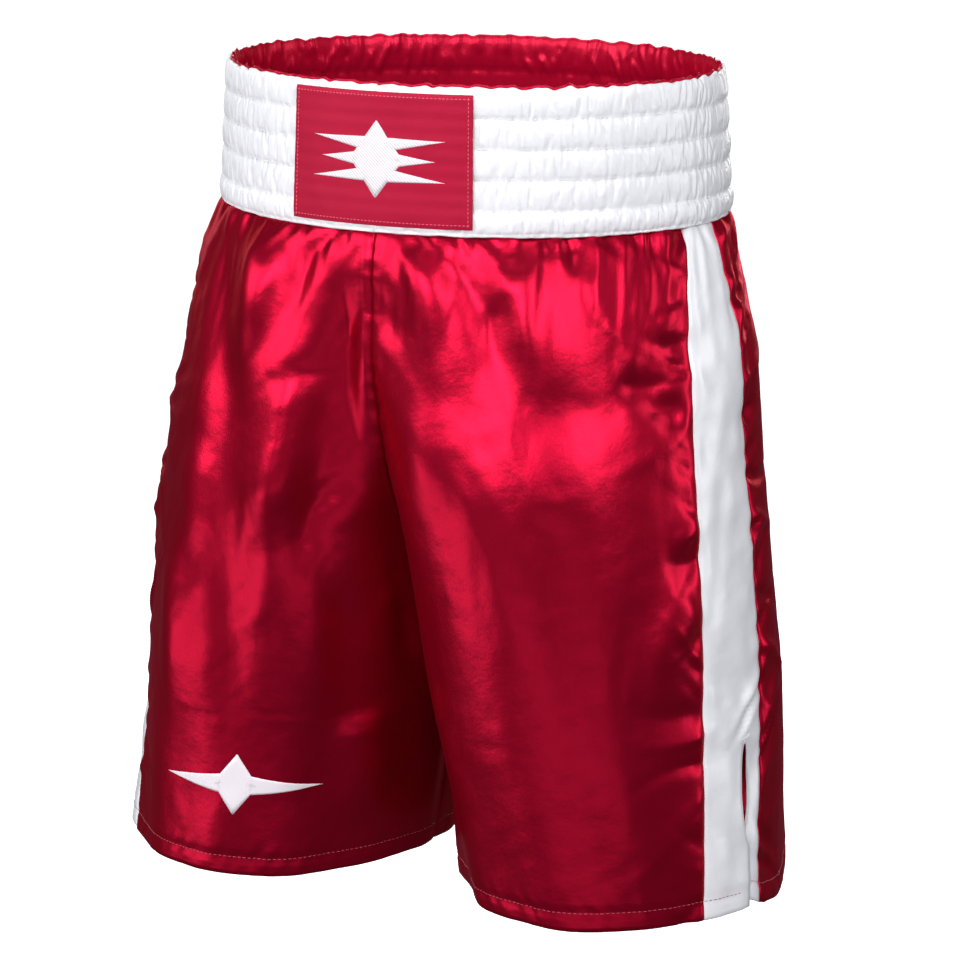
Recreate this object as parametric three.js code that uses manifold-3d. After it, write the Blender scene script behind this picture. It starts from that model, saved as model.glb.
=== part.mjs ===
// Boxing shorts: loose satin shorts with a tall elastic waistband, a stripe down each side that
// opens in a vent at the hem, a patch on the front of the band and an emblem on the right leg.
//
// Millimetres. +X is the wearer's left, -Y is the front and +Z is up. The origin is the middle of
// the waistband, at half its height: a body or a display form holds the shorts there.

import * as THREE from 'three';
import { mergeVertices } from 'three/addons/utils/BufferGeometryUtils.js';
import Module from 'manifold-3d';

const wasm = await Module();
wasm.setup();

// ---------------------------------------------------------------- driving dimensions

const GAP = 0.3; // left between pieces that are sewn together

// Waistband: an oval ring, a little wider at its lower edge.
const BAND_TOP_Z = 42;
const BAND_BOTTOM_Z = -42;
const BAND_TOP_HALF = { x: 158, y: 126 };
const BAND_BOTTOM_HALF = { x: 162, y: 130 };
const BAND_CENTRE_Y = 2;
const BAND_SEGMENTS = 48;
const CHANNEL_HEIGHTS = [16.5, 18, 17.5, 18.5, 13.5]; // gathered channels, from the top down
const CHANNEL_PUFF = 2.3; // how far a channel stands out past its seams
const CHANNEL_SHOULDER = { rise: 1.6, inset: 1.6 };
const CASING_WALL = 1.2;
const LINING_WALL = 1;
const ELASTIC_WALL = 1.2;
const ELASTIC_MARGIN = 2.4; // from an elastic's edge to the seam of its channel

// Body and legs: at every height each leg is an ellipse, and the two merge above the crotch.
// Each list is [height, distance], for the outer, inner, front and back limits of a leg.
const OUTER_LIMIT = [[-42, 162.3], [-80, 174], [-130, 184.5], [-300, 199.5], [-452, 212]];
const INNER_LIMIT = [[-42, -162], [-95, -138], [-150, -92], [-230, -32], [-345, 0.4], [-452, 18]];
const FRONT_LIMIT = [[-42, -129.1], [-75, -140], [-130, -148], [-200, -152.5], [-452, -137]];
const BACK_LIMIT = [[-42, 133.7], [-130, 131], [-300, 116], [-452, 100]];
const HEM_Z = -452;
const CLOTH_WALL = 1.4;
const PANEL_ROWS = 15;
const PANEL_COLUMNS = 15;

// Side stripe: its two edges, as [height, y].
const STRIPE_FRONT_EDGE = [[-42, -31.5], [-95, -50], [-164, -62], [-300, -72], [-452, -83]];
const STRIPE_BACK_EDGE = [[-42, -2], [-120, -3], [-247, -9], [-350, -17], [-452, -35]];
const STRIPE_COLUMNS = 5;

// Vent: a slit in the stripe from its apex down to the hem.
const VENT_APEX = { y: -39, z: -352 };
const VENT_HEM_Y = -52;
const VENT_HEM_WIDTH = 6;
const VENT_APEX_WIDTH = 0.8;
const BARTACK = { width: 9, height: 2, wall: 0.8 };

// Patch and emblems.
const PATCH = { halfWidth: 56, top: 39.5, bottom: -39, wall: 0.8, lift: 0.6 };
const PATCH_STITCH_INSET = 3;
const THREAD_WALL = 0.7;
const EMBLEM_WALL = 0.5;
const TIP = 0.5; // least height of a tapered bar at its tip
const LEG_EMBLEM_PLACE = { angle: THREE.MathUtils.degToRad(82), z: -393 };

// Hem stitch line and care label.
const HEM_TURN = 11;
const LABEL = { width: 36, length: 50, wall: 0.6, y: 128.4, top: -43.6 };

// ---------------------------------------------------------------- shape helpers

// A smooth curve through [height, value] stations, given from the top down.
function curve(stations) {
  const slopes = stations.map((_, i) => {
    const [z0, v0] = stations[Math.max(i - 1, 0)];
    const [z1, v1] = stations[Math.min(i + 1, stations.length - 1)];
    return (v1 - v0) / (z1 - z0);
  });
  return (z) => {
    let i = 0;
    while (i < stations.length - 2 && z < stations[i + 1][0]) i += 1;
    const [z0, v0] = stations[i];
    const [z1, v1] = stations[i + 1];
    const span = z1 - z0;
    const t = (z - z0) / span;
    const rest = 1 - t;
    const ends = v0 * (1 + 2 * t) * rest * rest + v1 * (3 - 2 * t) * t * t;
    return ends + span * t * rest * (slopes[i] * rest - slopes[i + 1] * t);
  };
}

const limits = {
  outer: curve(OUTER_LIMIT),
  inner: curve(INNER_LIMIT),
  front: curve(FRONT_LIMIT),
  back: curve(BACK_LIMIT),
};
const stripeFront = curve(STRIPE_FRONT_EDGE);
const stripeBack = curve(STRIPE_BACK_EDGE);

// The ellipse of one leg at a height, grown by an offset.
function section(z, offset) {
  const outer = limits.outer(z) + offset;
  const inner = limits.inner(z) - offset;
  const front = limits.front(z) - offset;
  const back = limits.back(z) + offset;
  return {
    x: (outer + inner) / 2,
    y: (front + back) / 2,
    halfX: (outer - inner) / 2,
    halfY: (back - front) / 2,
  };
}

// A point of a leg. The angle runs from the inner side (0) by the front to the outer side (pi).
function legPoint(side, angle, z, offset) {
  const s = section(z, offset);
  return new THREE.Vector3(
    side * (s.x - s.halfX * Math.cos(angle)),
    s.y - s.halfY * Math.sin(angle),
    z,
  );
}

// The angle at which a leg's panels begin: the middle plane above the crotch, the inseam below it.
function firstAngle(z, offset) {
  const s = section(z, offset);
  const inseam = GAP / 2 / s.halfY;
  return Math.max(Math.acos(Math.min((s.x - GAP / 2) / s.halfX, 1)), inseam);
}

// The angle of a line on the outer side of a leg that runs at a given y.
function sideAngle(y, z, offset) {
  const s = section(z, offset);
  return Math.PI - Math.asin((s.y - y) / s.halfY);
}

// A closed mesh from points and triangles, turned so that its faces point out.
function solid(points, triangles) {
  const volume = triangles.reduce((sum, [a, b, c]) => {
    const [p, q, r] = [points[a], points[b], points[c]];
    return sum + p.dot(new THREE.Vector3().crossVectors(q, r));
  }, 0);
  const outward = volume > 0 ? triangles : triangles.map(([a, b, c]) => [a, c, b]);
  const geometry = new THREE.BufferGeometry().setFromPoints(points);
  geometry.setIndex(outward.flat());
  return geometry;
}

// A sheet with a wall: place(u, v, layer) gives its points, u and v from 0 to 1, layer 0 or 1.
function sheet(rows, columns, place) {
  const points = [];
  for (const layer of [0, 1]) {
    for (let i = 0; i <= rows; i += 1) {
      for (let j = 0; j <= columns; j += 1) points.push(place(j / columns, i / rows, layer));
    }
  }
  const at = (i, j, layer) => (layer * (rows + 1) + i) * (columns + 1) + j;
  const triangles = [];
  const quad = (a, b, c, d) => triangles.push([a, b, c], [a, c, d]);
  for (let i = 0; i < rows; i += 1) {
    for (let j = 0; j < columns; j += 1) {
      quad(at(i, j, 1), at(i, j + 1, 1), at(i + 1, j + 1, 1), at(i + 1, j, 1));
      quad(at(i, j, 0), at(i + 1, j, 0), at(i + 1, j + 1, 0), at(i, j + 1, 0));
    }
  }
  for (let j = 0; j < columns; j += 1) {
    quad(at(0, j, 0), at(0, j + 1, 0), at(0, j + 1, 1), at(0, j, 1));
    quad(at(rows, j, 1), at(rows, j + 1, 1), at(rows, j + 1, 0), at(rows, j, 0));
  }
  for (let i = 0; i < rows; i += 1) {
    quad(at(i, 0, 1), at(i + 1, 0, 1), at(i + 1, 0, 0), at(i, 0, 0));
    quad(at(i, columns, 0), at(i + 1, columns, 0), at(i + 1, columns, 1), at(i, columns, 1));
  }
  return solid(points, triangles);
}

// A closed oval ring that follows the waistband. The profile is a loop of { offset, z }.
function bandRing(profile) {
  const points = [];
  for (let k = 0; k < BAND_SEGMENTS; k += 1) {
    const angle = (k / BAND_SEGMENTS) * 2 * Math.PI;
    for (const { offset, z } of profile) points.push(bandPoint(angle, z, offset));
  }
  const triangles = [];
  const n = profile.length;
  for (let k = 0; k < BAND_SEGMENTS; k += 1) {
    const next = (k + 1) % BAND_SEGMENTS;
    for (let i = 0; i < n; i += 1) {
      const up = (i + 1) % n;
      triangles.push([k * n + i, next * n + i, next * n + up]);
      triangles.push([k * n + i, next * n + up, k * n + up]);
    }
  }
  return solid(points, triangles);
}

// A point of the waistband, at an angle from the middle of the front.
function bandPoint(angle, z, offset) {
  const t = (z - BAND_BOTTOM_Z) / (BAND_TOP_Z - BAND_BOTTOM_Z);
  const halfX = THREE.MathUtils.lerp(BAND_BOTTOM_HALF.x, BAND_TOP_HALF.x, t) + offset;
  const halfY = THREE.MathUtils.lerp(BAND_BOTTOM_HALF.y, BAND_TOP_HALF.y, t) + offset;
  return new THREE.Vector3(halfX * Math.sin(angle), BAND_CENTRE_Y - halfY * Math.cos(angle), z);
}

// The loop of a plain band: inner and outer offset, lower and upper edge.
function bandStrip(inner, outer, low, high) {
  return [
    { offset: inner, z: low },
    { offset: outer, z: low },
    { offset: outer, z: high },
    { offset: inner, z: high },
  ];
}

// A closed mesh as a solid of the boolean library, and back.
function toSolid(geometry) {
  const merged = mergeVertices(geometry);
  return new wasm.Manifold(new wasm.Mesh({
    numProp: 3,
    vertProperties: new Float32Array(merged.attributes.position.array),
    triVerts: new Uint32Array(merged.index.array),
  }));
}

function fromSolid(body) {
  const mesh = body.getMesh();
  const geometry = new THREE.BufferGeometry();
  geometry.setAttribute('position', new THREE.BufferAttribute(mesh.vertProperties, 3));
  geometry.setIndex(new THREE.BufferAttribute(mesh.triVerts, 1));
  return geometry;
}

function join(geometries) {
  return fromSolid(geometries.map(toSolid).reduce((whole, piece) => whole.add(piece)));
}

// ---------------------------------------------------------------- materials

const COLOURS = {
  redSatin: 0xa8082e,
  whiteSatin: 0xeef0f6,
  redPatch: 0xad1c38,
  paleInk: 0xe6dfe6,
  redThread: 0xb0183a,
  whiteThread: 0xf4f4f8,
  elastic: 0xf0ede6,
};

function cloth(colour, roughness, metalness) {
  return new THREE.MeshStandardMaterial({ color: colour, roughness, metalness });
}

const shorts = new THREE.Group();

function add(name, geometry, material) {
  const mesh = new THREE.Mesh(geometry, material);
  mesh.name = name;
  shorts.add(mesh);
  return mesh;
}

// ---------------------------------------------------------------- waistband

// Heights of the channel seams, from the top edge to the bottom edge.
const channelSeams = CHANNEL_HEIGHTS.reduce(
  (seams, height) => [...seams, seams[seams.length - 1] - height],
  [BAND_TOP_Z],
);

// The outside of the gathered casing, as a list of { offset, z } from the top down.
function casingOutline(wall) {
  const outline = [{ offset: -wall, z: BAND_TOP_Z }];
  CHANNEL_HEIGHTS.forEach((height, i) => {
    const top = channelSeams[i];
    const bottom = channelSeams[i + 1];
    const { rise, inset } = CHANNEL_SHOULDER;
    outline.push({ offset: rise - wall, z: top - inset });
    outline.push({ offset: CHANNEL_PUFF - wall, z: (top + bottom) / 2 });
    outline.push({ offset: rise - wall, z: bottom + inset });
    outline.push({ offset: -wall, z: bottom });
  });
  return outline;
}

function makeWaistband() {
  const outside = casingOutline(0);
  const inside = casingOutline(CASING_WALL).reverse();
  add('waistband_shell', bandRing([...outside, ...inside]), cloth(COLOURS.whiteSatin, 0.35, 0.1));

  const liningOuter = -CASING_WALL - GAP;
  const lining = bandStrip(liningOuter - LINING_WALL, liningOuter, BAND_BOTTOM_Z, BAND_TOP_Z);
  add('waistband_lining', bandRing(lining), cloth(COLOURS.redSatin, 0.4, 0.2));

  const elasticInner = liningOuter + GAP;
  CHANNEL_HEIGHTS.forEach((height, i) => {
    const low = channelSeams[i + 1] + ELASTIC_MARGIN;
    const high = channelSeams[i] - ELASTIC_MARGIN;
    const tape = bandStrip(elasticInner, elasticInner + ELASTIC_WALL, low, high);
    add(`elastic_${i + 1}`, bandRing(tape), cloth(COLOURS.elastic, 0.9, 0));
  });

  channelSeams.slice(1, -1).forEach((z, i) => {
    const half = THREAD_WALL / 2;
    const seat = GAP + half; // clear of the sloping shoulders on both sides of the seam
    const thread = bandStrip(seat, seat + THREAD_WALL, z - half, z + half);
    add(`waistband_stitch_row_${i + 1}`, bandRing(thread), cloth(COLOURS.whiteThread, 0.6, 0));
  });
}

// ---------------------------------------------------------------- patch and emblems

// A raised strip between two curves: low(u) and high(u) over u from one end to the other.
function ribbon(from, to, steps, low, high, place) {
  return sheet(1, steps, (u, v, layer) => {
    const along = THREE.MathUtils.lerp(from, to, u);
    const height = Math.max(high(along) - low(along), TIP);
    const middle = (high(along) + low(along)) / 2;
    return place(along, middle + (v - 0.5) * height, layer);
  });
}

// Places on the front of the band, in flat millimetres across and up.
function onBand(lift, wall) {
  const base = CHANNEL_PUFF + lift;
  return (across, up, layer) => bandPoint(across / BAND_TOP_HALF.x, up, base + layer * wall);
}

// A lozenge with tapered bars on both sides: a plain sporting device.
function device({ lozenge, bars, place }) {
  const { halfWidth, halfHeight } = lozenge;
  const rhomb = (u) => halfHeight * (1 - Math.abs(u) / halfWidth);
  const pieces = [ribbon(-halfWidth, halfWidth, 8, (u) => -rhomb(u), rhomb, place)];
  for (const { from, to, level, height, drop } of bars) {
    for (const side of [-1, 1]) {
      const share = (u) => (Math.abs(u) - from) / (to - from);
      const middle = (u) => level - drop * share(u);
      const half = (u) => (height / 2) * (1 - share(u));
      const low = (u) => middle(u) - half(u);
      const high = (u) => middle(u) + half(u);
      pieces.push(ribbon(side * from, side * to, 8, low, high, place));
    }
  }
  return join(pieces);
}

function makePatch() {
  const { halfWidth, top, bottom, wall, lift } = PATCH;
  const board = ribbon(-halfWidth, halfWidth, 14, () => bottom, () => top, onBand(lift, wall));
  add('front_patch', board, cloth(COLOURS.redPatch, 0.5, 0.1));

  const onTop = onBand(lift + wall + GAP, THREAD_WALL);
  const half = THREAD_WALL / 2;
  const right = halfWidth - PATCH_STITCH_INSET;
  const high = top - PATCH_STITCH_INSET;
  const low = bottom + PATCH_STITCH_INSET;
  const line = (z) => ribbon(-right, right, 14, () => z - half, () => z + half, onTop);
  const post = (x) => ribbon(x - half, x + half, 1, () => low, () => high, onTop);
  const frame = join([line(high), line(low), post(-right), post(right)]);
  add('patch_stitching', frame, cloth(COLOURS.redThread, 0.6, 0));

  const emblem = device({
    lozenge: { halfWidth: 17, halfHeight: 23 },
    bars: [
      { from: 7, to: 42, level: 9, height: 8, drop: -3 },
      { from: 12, to: 36, level: 0, height: 8, drop: 0 },
      { from: 7, to: 42, level: -9, height: 8, drop: 3 },
    ],
    place: onBand(lift + wall + GAP, EMBLEM_WALL),
  });
  add('patch_emblem', emblem, cloth(COLOURS.paleInk, 0.5, 0));
}

function makeLegEmblem() {
  const right = -1;
  const { angle, z } = LEG_EMBLEM_PLACE;
  const radius = section(z, 0).halfX;
  const place = (across, up, layer) => {
    const turn = angle - across / radius;
    return legPoint(right, turn, z + up, 2 * GAP + layer * EMBLEM_WALL);
  };
  const emblem = device({
    lozenge: { halfWidth: 15, halfHeight: 20 },
    bars: [{ from: 8, to: 53, level: 0, height: 13, drop: 0 }],
    place,
  });
  add('leg_emblem', emblem, cloth(COLOURS.paleInk, 0.45, 0));
}

// ---------------------------------------------------------------- body panels and stripes

// A panel between two lines of angle, from the band down to the hem.
function panel(side, columns, startAngle, endAngle) {
  const top = BAND_BOTTOM_Z - GAP;
  return sheet(PANEL_ROWS, columns, (u, v, layer) => {
    const z = THREE.MathUtils.lerp(top, HEM_Z, v);
    const offset = (layer - 1) * CLOTH_WALL;
    const angle = THREE.MathUtils.lerp(startAngle(z, offset), endAngle(z, offset), u);
    return legPoint(side, angle, z, offset);
  });
}

// The wedge that opens the vent in a stripe, from just above its apex to below the hem.
function ventWedge(side) {
  const slope = (VENT_HEM_Y - VENT_APEX.y) / (HEM_Z - VENT_APEX.z);
  const wedge = new THREE.Shape();
  const below = HEM_Z - 5;
  const y = VENT_APEX.y + slope * (below - VENT_APEX.z);
  wedge.moveTo(VENT_APEX.y - VENT_APEX_WIDTH / 2, VENT_APEX.z);
  wedge.lineTo(y - VENT_HEM_WIDTH / 2, below);
  wedge.lineTo(y + VENT_HEM_WIDTH / 2, below);
  wedge.lineTo(VENT_APEX.y + VENT_APEX_WIDTH / 2, VENT_APEX.z);
  const depth = 120;
  const geometry = new THREE.ExtrudeGeometry(wedge, { depth, bevelEnabled: false });
  geometry.deleteAttribute('normal');
  geometry.deleteAttribute('uv');
  // The outline is drawn in Y and Z, and the extrusion runs along X.
  const turn = new THREE.Matrix4().set(0, 0, 1, 0, 1, 0, 0, 0, 0, 1, 0, 0, 0, 0, 0, 1);
  geometry.applyMatrix4(turn);
  geometry.translate(side > 0 ? 130 : -130 - depth, 0, 0);
  return geometry;
}

function makeBody() {
  const red = () => cloth(COLOURS.redSatin, 0.35, 0.4);
  const slack = (z, offset) => GAP / 2 / section(z, offset).halfY;
  const frontEdge = (z, offset) => sideAngle(stripeFront(z), z, offset);
  const backEdge = (z, offset) => sideAngle(stripeBack(z), z, offset);
  const ends = {
    front: (z, offset) => frontEdge(z, offset) - slack(z, offset),
    stripeStart: (z, offset) => frontEdge(z, offset) + slack(z, offset),
    stripeEnd: (z, offset) => backEdge(z, offset) - slack(z, offset),
    back: (z, offset) => backEdge(z, offset) + slack(z, offset),
    last: (z, offset) => 2 * Math.PI - firstAngle(z, offset),
  };
  for (const [name, side] of [['right', -1], ['left', 1]]) {
    const front = panel(side, PANEL_COLUMNS, firstAngle, ends.front);
    add(`${name}_front_panel`, front, red());
    const back = panel(side, PANEL_COLUMNS, ends.back, ends.last);
    add(`${name}_back_panel`, back, red());
    const whole = toSolid(panel(side, STRIPE_COLUMNS, ends.stripeStart, ends.stripeEnd));
    const stripe = fromSolid(whole.subtract(toSolid(ventWedge(side))));
    add(`${name}_side_stripe`, stripe, cloth(COLOURS.whiteSatin, 0.35, 0.1));
  }
}

// ---------------------------------------------------------------- hem stitches and bar tacks

function makeHemDetails() {
  const lift = 2 * GAP;
  const stitchZ = HEM_Z + HEM_TURN;
  const ventMargin = VENT_HEM_WIDTH;
  const before = sideAngle(VENT_HEM_Y - ventMargin, stitchZ, 0);
  const after = sideAngle(VENT_HEM_Y + ventMargin, stitchZ, 0) - 2 * Math.PI;
  for (const [name, side] of [['right', -1], ['left', 1]]) {
    const thread = sheet(1, 72, (u, v, layer) => {
      const angle = THREE.MathUtils.lerp(before, after, u);
      const z = stitchZ + (v - 0.5) * THREAD_WALL;
      return legPoint(side, angle, z, lift + layer * THREAD_WALL);
    });
    add(`${name}_hem_stitching`, thread, cloth(COLOURS.redThread, 0.6, 0));

    const { width, height, wall } = BARTACK;
    const tack = sheet(1, 2, (u, v, layer) => {
      const y = VENT_APEX.y + (u - 0.5) * width;
      const z = VENT_APEX.z + v * height;
      return legPoint(side, sideAngle(y, z, 0), z, lift + layer * wall);
    });
    add(`${name}_vent_bartack`, tack, cloth(COLOURS.whiteThread, 0.6, 0));
  }
}

// ---------------------------------------------------------------- care label

// A blank tape sewn by its top edge inside the centre back, free to swing below it.
function makeCareLabel() {
  const tape = new THREE.BoxGeometry(LABEL.width, LABEL.wall, LABEL.length);
  tape.translate(0, 0, -LABEL.length / 2);
  const label = add('care_label', tape, cloth(COLOURS.whiteSatin, 0.45, 0));
  label.position.set(0, LABEL.y, LABEL.top);
}

makeWaistband();
makePatch();
makeBody();
makeLegEmblem();
makeHemDetails();
makeCareLabel();

export default shorts;
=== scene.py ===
"""Boxing shorts: satin body, gathered elastic waistband, side stripes with hem vents.

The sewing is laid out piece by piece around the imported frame. The body is one cloth that is
gathered, settled by a cloth simulation over a body form and then cut into its panels.
"""

import math

import bmesh
import bpy
import numpy as np
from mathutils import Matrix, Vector


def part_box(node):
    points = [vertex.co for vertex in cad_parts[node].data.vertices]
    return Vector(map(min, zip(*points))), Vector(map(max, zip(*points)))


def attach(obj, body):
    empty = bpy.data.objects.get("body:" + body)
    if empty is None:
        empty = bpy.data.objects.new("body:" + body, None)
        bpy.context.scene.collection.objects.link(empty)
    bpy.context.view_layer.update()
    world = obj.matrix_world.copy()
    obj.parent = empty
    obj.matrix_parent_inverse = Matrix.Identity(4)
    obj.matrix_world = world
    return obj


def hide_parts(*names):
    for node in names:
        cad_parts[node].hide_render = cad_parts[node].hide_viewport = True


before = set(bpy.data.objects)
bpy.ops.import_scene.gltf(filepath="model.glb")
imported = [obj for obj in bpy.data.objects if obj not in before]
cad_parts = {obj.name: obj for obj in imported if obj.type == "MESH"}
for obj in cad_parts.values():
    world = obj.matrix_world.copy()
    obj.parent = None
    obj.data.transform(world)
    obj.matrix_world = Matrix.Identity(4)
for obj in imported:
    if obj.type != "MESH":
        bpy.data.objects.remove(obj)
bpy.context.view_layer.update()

bl_info = {
    "name": "Boxing Shorts",
    "version": (1, 0, 0),
    "blender": (4, 5, 0),
    "location": "3D View > Sidebar > Shorts",
    "description": "Sews a pair of satin boxing shorts around their frame",
    "category": "Add Mesh",
}

MM = 0.001
BODY = "shorts"
LABEL = "label"
SIDES = {"right": -1, "left": 1}
TAU = 2 * math.pi

# ------------------------------------------------------------------ shape of the garment
# Everything is in millimetres until a mesh is made from it, which turns it into metres. The
# curves of the design hold (height, distance) pairs. A leg is an ellipse at each height.

SEAM_Z = -42.0
HEM_Z = -452.0
OUTER_LIMIT = [(-42, 162.3), (-80, 174), (-130, 184.5), (-300, 199.5), (-452, 212)]
INNER_LIMIT = [(-42, -162), (-95, -138), (-150, -92), (-230, -32), (-345, 0.4), (-452, 18)]
FRONT_LIMIT = [(-42, -129.1), (-75, -140), (-130, -148), (-200, -152.5), (-452, -137)]
BACK_LIMIT = [(-42, 133.7), (-130, 131), (-300, 116), (-452, 100)]
STRIPE_FRONT_EDGE = [(-42, -31.5), (-95, -50), (-164, -62), (-300, -72), (-452, -83)]
STRIPE_BACK_EDGE = [(-42, -2), (-120, -3), (-247, -9), (-350, -17), (-452, -35)]
VENT_APEX_Z = -352.0
VENT_SHARE = 0.66  # the vent's place across the stripe, from its front edge
LEG_RADIUS = 125.0  # turns an angle on a leg into a rough length
CROTCH_Z = -345.0
HEM_TURN = 11.0

BAND_TOP = 42.0
BAND_BOTTOM = -42.0
BAND_TOP_HALF = (158.0, 126.0)
BAND_BOTTOM_HALF = (162.0, 130.0)
BAND_CENTRE_Y = 2.0
CHANNEL_HEIGHTS = (16.5, 18.0, 17.5, 18.5, 13.5)
BAND_GIRTH = 900.0
LINING_GIRTH = 880.0


def curve(stations):
    """A smooth curve through (height, value) stations, given from the top down."""
    z, v = (np.array(row, float) for row in zip(*stations))
    last = len(z) - 1
    low = np.maximum(np.arange(last + 1) - 1, 0)
    high = np.minimum(np.arange(last + 1) + 1, last)
    slope = (v[high] - v[low]) / (z[high] - z[low])

    def value(at):
        at = np.asarray(at, float)
        i = np.clip(np.searchsorted(-z, -at, side="right") - 1, 0, last - 1)
        span = z[i + 1] - z[i]
        t = (at - z[i]) / span
        rest = 1 - t
        ends = v[i] * (1 + 2 * t) * rest**2 + v[i + 1] * (3 - 2 * t) * t**2
        return ends + span * t * rest * (slope[i] * rest - slope[i + 1] * t)

    return value


outer_limit, inner_limit = curve(OUTER_LIMIT), curve(INNER_LIMIT)
front_limit, back_limit = curve(FRONT_LIMIT), curve(BACK_LIMIT)
stripe_front, stripe_back = curve(STRIPE_FRONT_EDGE), curve(STRIPE_BACK_EDGE)


def section(z, offset=0.0):
    """Centre and half axes of a leg's ellipse at a height: x, y, half_x, half_y."""
    outer = outer_limit(z) + offset
    inner = inner_limit(z) - offset
    front = front_limit(z) - offset
    back = back_limit(z) + offset
    return (outer + inner) / 2, (front + back) / 2, (outer - inner) / 2, (back - front) / 2


def side_angle(y, z):
    """The angle of a line on a leg's outer side that runs at a given y."""
    _, centre, _, half = section(z)
    return math.pi - np.arcsin((centre - y) / half)


def smoothstep(t):
    t = np.clip(t, 0, 1)
    return t * t * (3 - 2 * t)


class Layout:
    """A grid over one leg. Its columns run front panel, front flap, back flap, back panel."""

    def __init__(self, rows, counts):
        self.rows = rows
        self.z = np.linspace(SEAM_Z, HEM_Z, rows + 1)
        x, _, half_x, _ = section(self.z)
        first = np.arccos(np.clip(x / half_x, -1, 1))
        front = side_angle(stripe_front(self.z), self.z)
        back = side_angle(stripe_back(self.z), self.z)
        vent = front + (back - front) * VENT_SHARE
        lines = [first, front, vent, back, TAU - first]
        columns = []
        for start, end, count in zip(lines, lines[1:], counts):
            columns += [start + (end - start) * k / count for k in range(count)]
        self.angle = np.stack(columns + [lines[-1]], axis=1)
        self.height = np.repeat(self.z[:, None], self.angle.shape[1], axis=1)
        self.seams = np.cumsum((0,) + tuple(counts))
        self.share = np.concatenate(
            [piece + np.arange(n) / n for piece, n in enumerate(counts)] + [[len(counts)]]
        )

    def points(self, side, offset=0.0):
        x, y, half_x, half_y = (v[:, None] for v in section(self.z, offset))
        across = side * (x - half_x * np.cos(self.angle))
        depth = y - half_y * np.sin(self.angle)
        return np.stack([across, depth, self.height], axis=-1)

    def from_edge(self, column):
        """Rough distance of every point from a column, in millimetres."""
        return (self.angle - self.angle[:, [column]]) * LEG_RADIUS


def normals_of(grid, side):
    """Outward unit normals of a leg's grid."""
    down = np.gradient(grid, axis=0)
    around = np.gradient(grid, axis=1)
    normal = np.cross(down, around) * side
    length = np.linalg.norm(normal, axis=-1, keepdims=True)
    return normal / np.maximum(length, 1e-9)


def resample(values, rows, columns):
    """Smooth samples of a grid of values at fractional rows and columns."""

    def along(data, at):
        last = data.shape[0] - 1
        i = np.clip(at.astype(int), 0, last - 1)
        t = (at - i)[(...,) + (None,) * (data.ndim - 1)]
        a, b = data[np.maximum(i - 1, 0)], data[i]
        c, d = data[i + 1], data[np.minimum(i + 2, last)]
        return b + 0.5 * t * (c - a + t * (2 * a - 5 * b + 4 * c - d + t * (3 * (b - c) + d - a)))

    halfway = along(values, rows)
    return along(halfway.swapaxes(0, 1), columns).swapaxes(0, 1)


# ------------------------------------------------------------------ folds, puckers and waves

# The long folds that give the legs their shape: side, how far they rise (a valley is below zero),
# half widths at the start and the end, and the line as (angle in degrees, height).
LONG_FOLDS = [
    (-1, -8.4, 14.5, 20.5, [(140, -44), (125, -94), (111, -150), (97, -222), (88, -298), (84, -420)]),
    (-1, 7.2, 11.5, 16.5, [(120, -48), (112, -90), (109, -140)]),
    (-1, -6.8, 9.5, 12.5, [(103, -46), (105, -90), (106, -138)]),
    (-1, 6, 10.5, 14.5, [(97, -46), (92, -80), (88, -112)]),
    (-1, 7.6, 16.5, 21.5, [(93, -128), (86, -170), (79, -245)]),
    (-1, -13, 11.5, 20.5, [(97, -44), (91, -82), (84, -140), (74, -190), (58, -262), (40, -340)]),
    (1, 6.4, 11.5, 17.5, [(99, -46), (96, -96), (93, -146)]),
    (1, -6.8, 8.5, 13.5, [(106, -43), (108, -60), (112, -84), (112, -112), (109, -160)]),
    (1, 4.4, 16.5, 20.5, [(122, -50), (124, -100), (122, -150)]),
    (1, 1.8, 8.5, 8.5, [(138, -44), (135, -80), (131, -150)]),
    (1, -6.8, 9.5, 10.5, [(163, -106), (150, -110), (141, -118)]),
    (1, -6.4, 10.5, 10.5, [(141, -118), (147, -136), (159, -158)]),
    (1, 4, 8.5, 9.5, [(158, -212), (147, -232)]),
    (1, -4, 8.5, 9.5, [(157, -226), (145, -248)]),
    (1, 4.8, 14.5, 18.5, [(152, -250), (140, -290), (136, -330)]),
    (1, -5.2, 16.5, 22.5, [(118, -190), (112, -260), (108, -360)]),
    (-1, 5.2, 16.5, 20.5, [(118, -250), (112, -310), (108, -380)]),
    (-1, 6, 16.5, 22.5, [(66, -230), (60, -310), (57, -410)]),
    (-1, -6, 14.5, 18.5, [(32, -230), (28, -290), (24, -350)]),
    (-1, 7.2, 18.5, 24.5, [(42, -345), (38, -385), (34, -440)]),
]


WAVE_GAIN = 2.2  # brings a mean of many waves back to about -1 to 1


def seeded(*numbers):
    return np.random.default_rng(numbers)


def waves(s, z, shortest, longest, count, rng, stretch=1.0):
    """A soft uneven surface between -1 and 1, from waves of many lengths and directions."""
    total = np.zeros(np.broadcast(s, z).shape)
    weight = 0.0
    for _ in range(count):
        length = shortest * (longest / shortest) ** rng.random()
        turn = rng.uniform(0, math.pi)
        phase = rng.uniform(0, TAU)
        run = (s * math.cos(turn) + z * math.sin(turn) / stretch) * TAU / length
        total += np.sin(run + phase) * length
        weight += length
    return total / weight * WAVE_GAIN


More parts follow.
